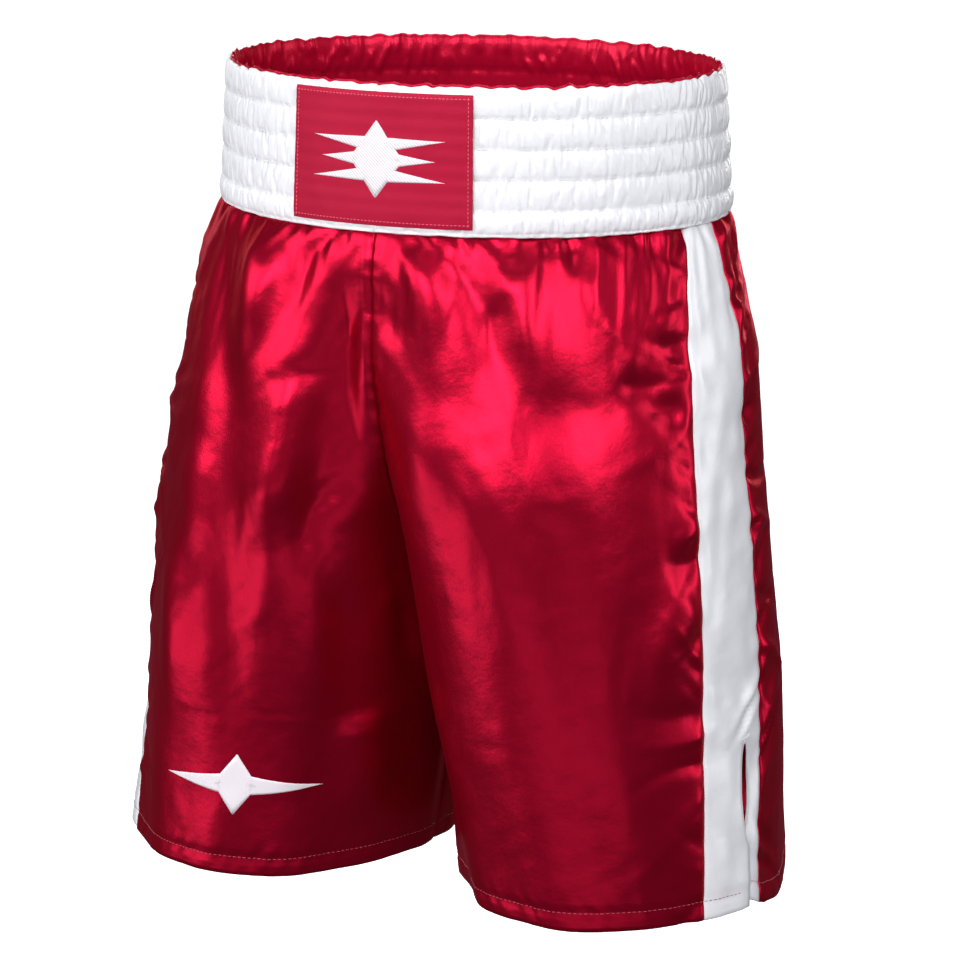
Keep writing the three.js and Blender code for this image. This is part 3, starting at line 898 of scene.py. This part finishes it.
def bars(shape, place, crown):
    """Raised strips. Each is (start, end, middle, half): across from start to end, where
    middle and half give the strip's height on the cloth and half its width."""
    parts = []
    for start, end, middle, half in shape:
        u = np.linspace(min(start, end), max(start, end), BAR_ROWS)[:, None]
        q = np.linspace(-1, 1, BAR_COLUMNS)[None]
        width = np.maximum(half(u), 0.12)
        across, up = u + 0 * q, middle(u) + q * width
        height = crown * np.sqrt(np.clip(1 - q**4, 0, 1)) * np.clip(width / 1.2, 0.4, 1)
        top = place(across, up, height)
        base = place(across, up, 0 * height - 0.05)
        loop = np.concatenate([top, base[:, ::-1]], axis=1)
        uv = np.stack([across, up], axis=-1)
        uv = np.concatenate([uv, uv[:, ::-1]], axis=1)
        around = loop.shape[1]
        faces = grid_faces(len(loop) - 1, around, ring=True)
        k = np.arange(BAR_COLUMNS - 1)
        cap = np.stack([k, k + 1, around - 2 - k, around - 1 - k], axis=1)
        faces = np.concatenate([faces, cap, cap[:, ::-1] + (len(loop) - 1) * around])
        parts.append((loop, faces, uv))
    return parts


def make_patch_emblem():
    def place(across, up, height):
        return on_patch(across + PATCH_SHIFT, up, PATCH_WALL + 0.12 + height)

    def bar(start, end, level, rise):
        """The middle line and the half width of a bar that narrows to a point at its end."""
        def share(u):
            return (np.abs(u) - start) / (end - start)

        return lambda u: level + rise * share(u), lambda u: 4.0 * (1 - share(u))

    shape = [(-17, 17, lambda u: 0 * u, lambda u: 23 * (1 - np.abs(u) / 17))]
    for start, end, level, rise in ((7, 42, 9, 3), (12, 36, 0, 0), (7, 42, -9, -3)):
        for side in (-1, 1):
            shape.append((side * start, side * end, *bar(start, end, level, rise)))
    name = "patch_emblem"
    piece(name, bars(shape, place, 0.55), embroidery(), "emblem_white", (name,))


def make_leg_emblem():
    centre, z = math.radians(82), -393.0
    radius = float(section(z)[2])

    def place(across, up, height):
        angle = centre - across / radius
        return on_cloth(-1, angle, z + up, 0.12 + height)

    def bar_half(u):
        return 6.5 * (1 - (np.abs(u) - 8) / 45)

    shape = [(-15, 15, lambda u: 0 * u, lambda u: 20 * (1 - np.abs(u) / 15))]
    for side in (-1, 1):
        shape.append((side * 8, side * 53, lambda u: 0 * u, bar_half))
    name = "leg_emblem"
    piece(name, bars(shape, place, 0.16), print_white(), "emblem_white", (name,))


# ------------------------------------------------------------------ stitches


def stitch_tree(material):
    """Geometry Nodes: lays a stitch at every pitch along each line of a mesh."""
    tree = bpy.data.node_groups.new("Stitch rows", "GeometryNodeTree")
    face = tree.interface
    face.new_socket("Geometry", in_out="INPUT", socket_type="NodeSocketGeometry")
    for name, value in (("Pitch", 3.2 * MM), ("Stitch length", 2.5 * MM), ("Thread", 0.5 * MM)):
        socket = face.new_socket(name, in_out="INPUT", socket_type="NodeSocketFloat")
        socket.default_value = value
        socket.min_value = 0.0
    face.new_socket("Geometry", in_out="OUTPUT", socket_type="NodeSocketGeometry")

    def node(kind, **settings):
        made = tree.nodes.new(kind)
        for key, value in settings.items():
            setattr(made, key, value)
        return made

    def link(a, b):
        tree.links.new(a, b)

    start, end = node("NodeGroupInput"), node("NodeGroupOutput")
    lines = node("GeometryNodeMeshToCurve")
    spaced = node("GeometryNodeResampleCurve", mode="LENGTH")
    stitch = node("GeometryNodeMeshUVSphere")
    stitch.inputs["Segments"].default_value = 6
    stitch.inputs["Rings"].default_value = 4
    stitch.inputs["Radius"].default_value = 0.5
    size = node("ShaderNodeCombineXYZ")
    shaped = node("GeometryNodeTransform")
    tangent = node("GeometryNodeInputTangent")
    turn = node("FunctionNodeAlignRotationToVector", axis="X")
    laid = node("GeometryNodeInstanceOnPoints")
    whole = node("GeometryNodeRealizeInstances")
    smooth = node("GeometryNodeSetShadeSmooth")
    finish = node("GeometryNodeSetMaterial")
    finish.inputs["Material"].default_value = material
    link(start.outputs["Geometry"], lines.inputs["Mesh"])
    link(lines.outputs["Curve"], spaced.inputs["Curve"])
    link(start.outputs["Pitch"], spaced.inputs["Length"])
    link(start.outputs["Stitch length"], size.inputs["X"])
    link(start.outputs["Thread"], size.inputs["Y"])
    link(start.outputs["Thread"], size.inputs["Z"])
    link(stitch.outputs["Mesh"], shaped.inputs["Geometry"])
    link(size.outputs["Vector"], shaped.inputs["Scale"])
    link(spaced.outputs["Curve"], laid.inputs["Points"])
    link(shaped.outputs["Geometry"], laid.inputs["Instance"])
    link(tangent.outputs["Tangent"], turn.inputs["Vector"])
    link(turn.outputs["Rotation"], laid.inputs["Rotation"])
    link(laid.outputs["Instances"], whole.inputs["Geometry"])
    link(whole.outputs["Geometry"], smooth.inputs["Geometry"])
    link(smooth.outputs["Geometry"], finish.inputs["Geometry"])
    link(finish.outputs["Geometry"], end.inputs["Geometry"])
    return tree


def stitch_rows(name, lines, tree, pitch, length, thread):
    """A plain mesh of stitches along lines of points, in millimetres."""
    points, edges = [], []
    for line, closed in lines:
        first = len(points)
        points += (line * MM).tolist()
        count = len(line)
        edges += [(first + k, first + k + 1) for k in range(count - 1)]
        if closed:
            edges.append((first + count - 1, first))
    guide = bpy.data.meshes.new(name + "_guide")
    guide.from_pydata(points, edges, [])
    holder = bpy.data.objects.new(name + "_guide", guide)
    bpy.context.scene.collection.objects.link(holder)
    rows = holder.modifiers.new("Stitches", "NODES")
    rows.node_group = tree
    sizes = {"Pitch": pitch, "Stitch length": length, "Thread": thread}
    for socket in tree.interface.items_tree:
        if socket.in_out == "INPUT" and socket.name in sizes:
            rows[socket.identifier] = sizes[socket.name] * MM
    bpy.context.view_layer.update()
    graph = bpy.context.evaluated_depsgraph_get()
    mesh = bpy.data.meshes.new_from_object(holder.evaluated_get(graph))
    bpy.data.objects.remove(holder)
    mesh.name = "sewn_" + name
    made = bpy.data.objects.new("sewn_" + name, mesh)
    bpy.context.scene.collection.objects.link(made)
    return finish_piece(made, (name,))


def make_stitching():
    white, red = stitch_tree(thread_white()), stitch_tree(thread_red())
    deep_red = stitch_tree(thread_deep_red())
    angle = np.arange(400) * TAU / 400
    seams = channel_seams()
    for i in range(1, len(seams) - 1):
        # The same wander as the casing's seam, which the row lies in.
        wander = 0.27 * waves(angle * BAND_GIRTH / TAU, 0 * angle, 20, 80, 8, seeded(43, i))
        line = band_point(angle, seams[i] + wander, 0.1)
        stitch_rows(f"waistband_stitch_row_{i}", [(line, True)], white,
                    pitch=3.0, length=2.3, thread=0.5)

    inset = 2.6
    right, high, low = PATCH_HALF - inset, PATCH_TOP - inset, PATCH_BOTTOM + inset
    lift = PATCH_WALL + 0.1
    across = np.linspace(-right, right, 60) + PATCH_SHIFT
    up = np.linspace(low, high, 40)
    lines = [(on_patch(across, high + 0 * across, lift), False),
             (on_patch(across, low + 0 * across, lift), False),
             (on_patch(PATCH_SHIFT - right + 0 * up, up, lift), False),
             (on_patch(PATCH_SHIFT + right + 0 * up, up, lift), False)]
    stitch_rows("patch_stitching", lines, red, pitch=2.4, length=1.9, thread=0.6)

    for word, side in SIDES.items():
        z = HEM_Z + HEM_TURN
        vent = float(np.interp(-z, -FINE.z, FINE.angle[:, FINE.seams[2]]))
        start, gap = 0.03, 0.06  # radians clear of the inseam, and of the vent
        front = np.linspace(start, vent - gap, 160)
        back = np.linspace(vent + gap, TAU - start, 160)
        lines = [(on_cloth(side, run, z + 0 * run, 0.12), False) for run in (front, back)]
        stitch_rows(f"{word}_hem_stitching", lines, deep_red,
                    pitch=3.2, length=2.5, thread=0.45)

        # Bar tack: a dense little block of stitches across the top of the vent.
        rows = []
        for k in range(4):
            run = np.linspace(-4.5, 4.5, 8) / LEG_RADIUS
            place = VENT_APEX_Z + 0.4 + 0.55 * k
            centre = float(np.interp(-place, -FINE.z, FINE.angle[:, FINE.seams[2]]))
            rows.append((on_cloth(side, centre + run, place + 0 * run, 0.3), False))
        stitch_rows(f"{word}_vent_bartack", rows, white,
                    pitch=1.1, length=1.5, thread=0.6)


# ------------------------------------------------------------------ care label


def make_care_label():
    low, high = (np.array(corner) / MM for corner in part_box("care_label"))
    across = np.linspace(low[0], high[0], 25)[None]
    down = np.linspace(0, 1, 34)[:, None]
    height = high[2] - low[2]
    z = high[2] - down * height + 0 * across
    curl = -2.2 * down**2 + 0.8 * np.sin(across / 18 * 1.4) * down
    y = (low[1] + high[1]) / 2 + curl
    grid = np.stack([across + 0 * down, y, z], axis=-1)
    uv = np.stack([across + 0 * down, z], axis=-1)
    faces = grid_faces(grid.shape[0] - 1, grid.shape[1] - 1)
    name = "care_label"
    tape = piece(name, [(grid, faces, uv)], label_satin(), "label_white", (name,),
                 body=LABEL, wall=0.35, offset=0)


# ------------------------------------------------------------------ materials


class Value:
    """A shader socket that can be used in sums."""

    def __init__(self, shader, socket):
        self.shader, self.socket = shader, socket

    def _maths(self, operation, first, second):
        made = self.shader.node("ShaderNodeMath", {"operation": operation}, {0: first, 1: second})
        return Value(self.shader, made.outputs[0])

    def __add__(self, other):
        return self._maths("ADD", self, other)

    def __radd__(self, other):
        return self._maths("ADD", other, self)

    def __mul__(self, other):
        return self._maths("MULTIPLY", self, other)

    def __rmul__(self, other):
        return self._maths("MULTIPLY", other, self)


class Shader:
    """A material and one way to add nodes to it."""

    def __init__(self, name, **constants):
        self.material = bpy.data.materials.new(name)
        self.material.use_nodes = True
        self.tree = self.material.node_tree
        self.surface = self.tree.nodes["Principled BSDF"]
        for key, value in constants.items():
            self.surface.inputs[key.replace("_", " ")].default_value = value

    def node(self, kind, settings=None, inputs=None):
        made = self.tree.nodes.new(kind)
        for key, value in (settings or {}).items():
            setattr(made, key, value)
        for key, value in (inputs or {}).items():
            if isinstance(value, Value):
                self.tree.links.new(value.socket, made.inputs[key])
            else:
                made.inputs[key].default_value = value
        return made

    def value(self, kind, output, settings=None, inputs=None):
        return Value(self, self.node(kind, settings, inputs).outputs[output])

    def set(self, **links):
        for key, value in links.items():
            self.tree.links.new(value.socket, self.surface.inputs[key.replace("_", " ")])

    def cloth_map(self, scale):
        """The cloth's own coordinates, in metres across and down, stretched by scale."""
        uv = self.value("ShaderNodeUVMap", "UV", {"uv_map": "cloth"})
        return self.value("ShaderNodeMapping", "Vector", inputs={"Vector": uv, "Scale": scale})

    def object_map(self, scale):
        place = self.value("ShaderNodeTexCoord", "Object")
        return self.value("ShaderNodeMapping", "Vector", inputs={"Vector": place, "Scale": scale})

    def noise(self, vector, scale, detail=2.0, roughness=0.5):
        inputs = {"Vector": vector, "Scale": scale, "Detail": detail, "Roughness": roughness}
        return self.value("ShaderNodeTexNoise", "Fac", inputs=inputs)

    def tint(self, factor, dark, light):
        inputs = {0: factor, 6: dark, 7: light}
        return self.value("ShaderNodeMix", 2, {"data_type": "RGBA"}, inputs)

    def bump(self, height, distance, strength=1.0, below=None):
        inputs = {"Height": height, "Distance": distance, "Strength": strength}
        if below is not None:
            inputs["Normal"] = below
        return self.value("ShaderNodeBump", "Normal", inputs=inputs)


MADE = {}


def once(make):
    """Each finish is made one time and shared by the pieces that have it."""

    def get(name=None, **options):
        key = name or make.__name__
        if key not in MADE:
            MADE[key] = make(name, **options) if name else make(**options)
        return MADE[key]

    return get


def colour(word):
    return tuple(getattr(bpy.context.scene.shorts_colours, word)) + (1.0,)


def darker(rgba, share):
    return tuple(c * share for c in rgba[:3]) + (1.0,)


@once
def satin_red(name="red_satin_cloth", gloss=1.0, metal=0.84, lift=1.0):
    cut = bpy.context.scene.shorts_colours
    s = Shader(name, Metallic=metal, Specular_IOR_Level=0.5, Anisotropic=0.3,
               Coat_Weight=0.05, Coat_Roughness=0.3)
    s.surface.inputs["Specular Tint"].default_value = (1.0, 0.22, 0.34, 1.0)
    warp = s.noise(s.cloth_map((2600, 160, 1)), 1.0, 3.0)
    slubs = s.noise(s.cloth_map((900, 30, 1)), 1.0, 2.0)
    crinkle = s.noise(s.cloth_map((75, 62, 1)), 1.0, 4.0, 0.55)
    cloudy = s.noise(s.object_map((9, 9, 9)), 1.0, 3.0)
    # A lift above 1 paints the red lighter than the cloth's own colour: painted light, used for the
    # lining inside the band.
    red = darker(colour("red"), lift)
    s.set(Base_Color=s.tint(cloudy * 0.5 + slubs * 0.5, darker(red, 0.82), red))
    s.set(Roughness=cut.satin_roughness * gloss * (0.8 + cloudy * 0.25 + crinkle * 0.15))
    mottle = s.noise(s.cloth_map((270, 190, 1)), 1.0, 3.0, 0.6)
    weave = s.bump(warp, 0.00006, 0.5)
    grain = s.bump(mottle, 0.0004, 0.3, below=weave)
    s.set(Normal=s.bump(crinkle, 0.0012, 0.28, below=grain))
    return s.material


@once
def satin_white(name="white_satin_cloth", pucker=0.0):
    s = Shader(name, Metallic=0.0, Specular_IOR_Level=0.75, Sheen_Weight=0.2,
               Sheen_Roughness=0.35, IOR=1.5)
    warp = s.noise(s.cloth_map((2600, 160, 1)), 1.0, 3.0)
    crinkle = s.noise(s.cloth_map((90, 70, 1)), 1.0, 4.0, 0.55)
    fine = s.noise(s.cloth_map((520, 60, 1)), 1.0, 3.0)
    cloudy = s.noise(s.object_map((22, 22, 22)), 1.0, 4.0, 0.6)
    shade = s.tint(cloudy * 0.75 + fine * 0.25, colour("white_shade"), colour("white"))
    s.set(Base_Color=shade)
    s.set(Roughness=0.26 + cloudy * 0.14)
    normal = s.bump(crinkle, 0.0014, 0.4, below=s.bump(warp, 0.00005, 0.5))
    if pucker:
        gathered = s.noise(s.cloth_map((330, 55, 1)), 1.0, 3.0, 0.6)
        normal = s.bump(gathered, 0.0009, 0.55 * pucker, below=normal)
    s.set(Normal=normal)
    return s.material


@once
def patch_weave():
    s = Shader("patch_cloth", Metallic=0.2, Specular_IOR_Level=0.4)
    s.surface.inputs["Specular Tint"].default_value = (1.0, 0.3, 0.4, 1.0)
    rib = s.value("ShaderNodeTexWave", "Fac", {"wave_type": "BANDS", "bands_direction": "Y"},
                  {"Vector": s.cloth_map((1, 1, 1)), "Scale": 520.0, "Distortion": 0.6})
    cloudy = s.noise(s.cloth_map((34, 24, 1)), 1.0, 3.0)
    red = colour("patch")
    s.set(Base_Color=s.tint(cloudy * 0.6 + rib * 0.4, darker(red, 0.8), red))
    s.set(Roughness=0.42 + cloudy * 0.14)
    s.set(Normal=s.bump(rib, 0.00004, 0.5))
    return s.material


@once
def embroidery():
    s = Shader("embroidery_thread", Specular_IOR_Level=0.6, Sheen_Weight=0.3)
    rows = s.value("ShaderNodeTexWave", "Fac",
                   {"wave_type": "BANDS", "bands_direction": "DIAGONAL"},
                   {"Vector": s.cloth_map((1, 1, 1)), "Scale": 300.0, "Distortion": 0.8})
    s.set(Base_Color=s.tint(rows, darker(colour("ink"), 0.82), colour("ink")))
    s.set(Roughness=0.38 + rows * 0.15)
    s.set(Normal=s.bump(rows, 0.00025, 0.8))
    return s.material


@once
def print_white():
    s = Shader("heat_print", Specular_IOR_Level=0.45)
    grain = s.noise(s.cloth_map((900, 900, 1)), 1.0, 3.0)
    patchy = s.noise(s.cloth_map((60, 60, 1)), 1.0, 3.0)
    s.set(Base_Color=s.tint(patchy, darker(colour("ink"), 0.9), colour("ink")))
    s.set(Roughness=0.45 + grain * 0.15)
    s.set(Normal=s.bump(grain, 0.00005, 0.5))
    return s.material


def thread(name, rgba):
    s = Shader(name, Specular_IOR_Level=0.5, Sheen_Weight=0.3)
    twist = s.noise(s.object_map((1800, 1800, 1800)), 1.0, 2.0)
    s.set(Base_Color=s.tint(twist, darker(rgba, 0.75), rgba))
    s.set(Roughness=0.4 + twist * 0.2)
    return s.material


@once
def thread_white():
    return thread("white_thread", colour("white"))


@once
def thread_red():
    return thread("red_thread", colour("thread"))


@once
def thread_deep_red():
    return thread("deep_red_thread", darker(colour("thread"), 0.5))


@once
def elastic_knit():
    s = Shader("knitted_elastic", Specular_IOR_Level=0.3, Sheen_Weight=0.2)
    ribs = s.noise(s.object_map((900, 900, 120)), 1.0, 2.0)
    s.set(Base_Color=s.tint(ribs, (0.62, 0.61, 0.58, 1), (0.86, 0.85, 0.82, 1)))
    s.set(Roughness=0.7 + ribs * 0.2)
    s.set(Normal=s.bump(ribs, 0.0003, 0.7))
    return s.material


@once
def label_satin():
    s = Shader("label_tape", Specular_IOR_Level=0.6, Sheen_Weight=0.2)
    warp = s.noise(s.cloth_map((2400, 200, 1)), 1.0, 3.0)
    s.set(Base_Color=s.tint(warp, (0.74, 0.74, 0.76, 1), (0.88, 0.88, 0.9, 1)))
    s.set(Roughness=0.34 + warp * 0.14)
    s.set(Normal=s.bump(warp, 0.00006, 0.6))
    return s.material


@once
def studio_white():
    s = Shader("studio_floor", Roughness=0.9, Specular_IOR_Level=0.0)
    grain = s.noise(s.object_map((3, 3, 3)), 1.0, 2.0)
    s.set(Base_Color=s.tint(grain, (0.9, 0.9, 0.9, 1), (0.93, 0.93, 0.93, 1)))
    s.surface.inputs["Emission Color"].default_value = (1, 1, 1, 1)
    s.surface.inputs["Emission Strength"].default_value = 1.0
    return s.material


# ------------------------------------------------------------------ stage

CAMERA_PLACE = (1.0376, -2.0737, 0.3281)
CAMERA_AIM = (0.0040, 0.0020, -0.2197)

# Softboxes: place and size in metres, power in watts, and the point that they aim at.
SOFTBOXES = {
    "front": ((0.15, -2.6, 1.00), (1.5, 1.3), 48.0, (0.0, 0.0, -0.2)),
    "right": ((2.0, -1.5, 1.0), (1.0, 1.4), 34.0, (0.0, 0.0, -0.2)),
    "left": ((-1.7, -1.9, 0.80), (1.7, 1.4), 38.0, (0.0, 0.0, -0.2)),
    "top": ((0.1, -0.3, 2.2), (1.6, 1.2), 20.0, (0.0, 0.0, 0.0)),
    "rim": ((-2.0, 1.2, 0.5), (0.8, 1.6), 4.0, (0.0, 0.0, -0.2)),
    "side": ((2.3, 0.9, 0.2), (0.6, 1.6), 14.0, (0.0, 0.0, -0.2)),
    "back": ((-0.3, 2.5, 0.1), (1.6, 0.8), 16.0, (0.0, 0.0, -0.2)),
    "low": ((0.55, -1.35, -0.74), (1.7, 0.3), 1.5, (0.0, 0.0, -0.35)),
    "low_left": ((-1.0, -1.0, -0.72), (0.9, 0.3), 2.4, (0.0, 0.0, -0.35)),
}


def aim(made, place, target):
    made.location = place
    made.rotation_euler = (Vector(target) - Vector(place)).to_track_quat("-Z", "Y").to_euler()


def make_stage():
    studio = bpy.context.scene.shorts_studio
    scene = bpy.context.scene
    camera = bpy.data.objects.new("camera", bpy.data.cameras.new("camera"))
    scene.collection.objects.link(camera)
    camera.data.lens = studio.lens
    camera.data.sensor_width = 36.0
    aim(camera, CAMERA_PLACE, CAMERA_AIM)
    scene.camera = camera
    for name, (place, size, power, target) in SOFTBOXES.items():
        light = bpy.data.lights.new(name, "AREA")
        light.shape = "RECTANGLE"
        light.size, light.size_y = size
        light.energy = power * studio.light
        lamp = bpy.data.objects.new(name, light)
        scene.collection.objects.link(lamp)
        lamp.visible_camera = False
        aim(lamp, place, target)
    bpy.ops.mesh.primitive_plane_add(size=40, location=(0, 0, HEM_Z * MM - studio.drop))
    floor = bpy.context.object
    floor.name = "studio_floor"
    floor.data.materials.append(studio_white())
    floor.visible_glossy = False
    floor.visible_diffuse = False
    world = bpy.data.worlds.new("studio")
    world.use_nodes = True
    scene.world = world
    nodes, links = world.node_tree.nodes, world.node_tree.links
    room = nodes["Background"]
    room.inputs["Color"].default_value = (0.9, 0.93, 1.0, 1)
    room.inputs["Strength"].default_value = studio.ambient
    paper = nodes.new("ShaderNodeBackground")
    paper.inputs["Color"].default_value = (1, 1, 1, 1)
    rays = nodes.new("ShaderNodeLightPath")
    either = nodes.new("ShaderNodeMixShader")
    links.new(rays.outputs["Is Camera Ray"], either.inputs[0])
    links.new(room.outputs["Background"], either.inputs[1])
    links.new(paper.outputs["Background"], either.inputs[2])
    links.new(either.outputs["Shader"], nodes["World Output"].inputs["Surface"])
    scene.view_settings.view_transform = "Standard"


# ------------------------------------------------------------------ add-on


class ShortsCloth(bpy.types.PropertyGroup):
    """Sizes of the cloth that a maker would change."""

    extra_fullness: bpy.props.FloatProperty(
        name="Extra fullness",
        description="How much wider than the waist seam the cloth is cut at its top",
        default=0.045, min=0.0, max=0.6)


class ShortsColours(bpy.types.PropertyGroup):
    """Colours and gloss of the finishes."""

    red: bpy.props.FloatVectorProperty(
        name="Red satin", description="Body and lining", subtype="COLOR",
        default=(0.46, 0.002, 0.026))
    white: bpy.props.FloatVectorProperty(
        name="White satin", description="Band and stripes", subtype="COLOR",
        default=(0.80, 0.80, 0.825))
    white_shade: bpy.props.FloatVectorProperty(
        name="White shade", description="Darker threads of the white satin", subtype="COLOR",
        default=(0.70, 0.70, 0.755))
    patch: bpy.props.FloatVectorProperty(
        name="Patch", description="Front patch", subtype="COLOR",
        default=(0.40, 0.006, 0.034))
    ink: bpy.props.FloatVectorProperty(
        name="Emblem", description="Embroidery and print", subtype="COLOR",
        default=(0.78, 0.72, 0.78))
    thread: bpy.props.FloatVectorProperty(
        name="Red thread", description="Patch and hem stitches", subtype="COLOR",
        default=(0.80, 0.07, 0.16))
    satin_roughness: bpy.props.FloatProperty(
        name="Satin roughness", description="Lower is glossier", default=0.34, min=0.05, max=1.0)


class ShortsStudio(bpy.types.PropertyGroup):
    """Camera and light."""

    lens: bpy.props.FloatProperty(
        name="Lens", description="Focal length in millimetres", default=142.66, min=20, max=300)
    light: bpy.props.FloatProperty(
        name="Light", description="Strength of all softboxes", default=1.0, min=0.0)
    ambient: bpy.props.FloatProperty(
        name="Ambient", description="Strength of the room's own light", default=0.11, min=0.0)
    drop: bpy.props.FloatProperty(
        name="Floor drop", description="From the hems down to the floor", subtype="DISTANCE",
        unit="LENGTH", default=0.45, min=0.0)


class SHORTS_OT_body(bpy.types.Operator):
    """Drape and cut the four red panels and the two side stripes"""

    bl_idname = "shorts.body"
    bl_label = "Body and stripes"

    def execute(self, context):
        make_panels()
        make_stripes()
        return {"FINISHED"}


class SHORTS_OT_waistband(bpy.types.Operator):
    """Gather the waistband: casing, lining and elastics"""

    bl_idname = "shorts.waistband"
    bl_label = "Waistband"

    def execute(self, context):
        make_band_casing()
        make_band_lining()
        dress_elastics()
        return {"FINISHED"}


class SHORTS_OT_emblems(bpy.types.Operator):
    """Make the front patch, its emblem and the emblem on the right leg"""

    bl_idname = "shorts.emblems"
    bl_label = "Patch and emblems"

    def execute(self, context):
        make_patch()
        make_patch_emblem()
        make_leg_emblem()
        return {"FINISHED"}


class SHORTS_OT_stitching(bpy.types.Operator):
    """Lay every visible row of stitches"""

    bl_idname = "shorts.stitching"
    bl_label = "Stitching"

    def execute(self, context):
        make_stitching()
        return {"FINISHED"}


class SHORTS_OT_care_label(bpy.types.Operator):
    """Hang the blank care label inside the waistband"""

    bl_idname = "shorts.care_label"
    bl_label = "Care label"

    def execute(self, context):
        make_care_label()
        return {"FINISHED"}


class SHORTS_OT_stage(bpy.types.Operator):
    """Set up the floor, the softboxes and the camera"""

    bl_idname = "shorts.stage"
    bl_label = "Studio stage"

    def execute(self, context):
        make_stage()
        return {"FINISHED"}


OPERATORS = (SHORTS_OT_stage, SHORTS_OT_body, SHORTS_OT_waistband, SHORTS_OT_emblems,
             SHORTS_OT_stitching, SHORTS_OT_care_label)


class SHORTS_PT_panel(bpy.types.Panel):
    """Lists the pieces of the shorts"""

    bl_label = "Boxing Shorts"
    bl_idname = "SHORTS_PT_panel"
    bl_space_type = "VIEW_3D"
    bl_region_type = "UI"
    bl_category = "Shorts"

    def draw(self, context):
        for group in (context.scene.shorts_cloth, context.scene.shorts_colours,
                      context.scene.shorts_studio):
            for name in group.__annotations__:
                self.layout.prop(group, name)
        for operator in OPERATORS:
            self.layout.operator(operator.bl_idname)


GROUPS = {"shorts_cloth": ShortsCloth, "shorts_colours": ShortsColours,
          "shorts_studio": ShortsStudio}


def register():
    for cls in (*GROUPS.values(), *OPERATORS, SHORTS_PT_panel):
        bpy.utils.register_class(cls)
    for name, group in GROUPS.items():
        setattr(bpy.types.Scene, name, bpy.props.PointerProperty(type=group))


def unregister():
    for name in GROUPS:
        delattr(bpy.types.Scene, name)
    for cls in reversed((*GROUPS.values(), *OPERATORS, SHORTS_PT_panel)):
        bpy.utils.unregister_class(cls)


def main():
    register()
    bpy.ops.shorts.stage()
    bpy.ops.shorts.body()
    bpy.ops.shorts.waistband()
    bpy.ops.shorts.emblems()
    bpy.ops.shorts.stitching()
    bpy.ops.shorts.care_label()


if __name__ == "__main__":
    main()
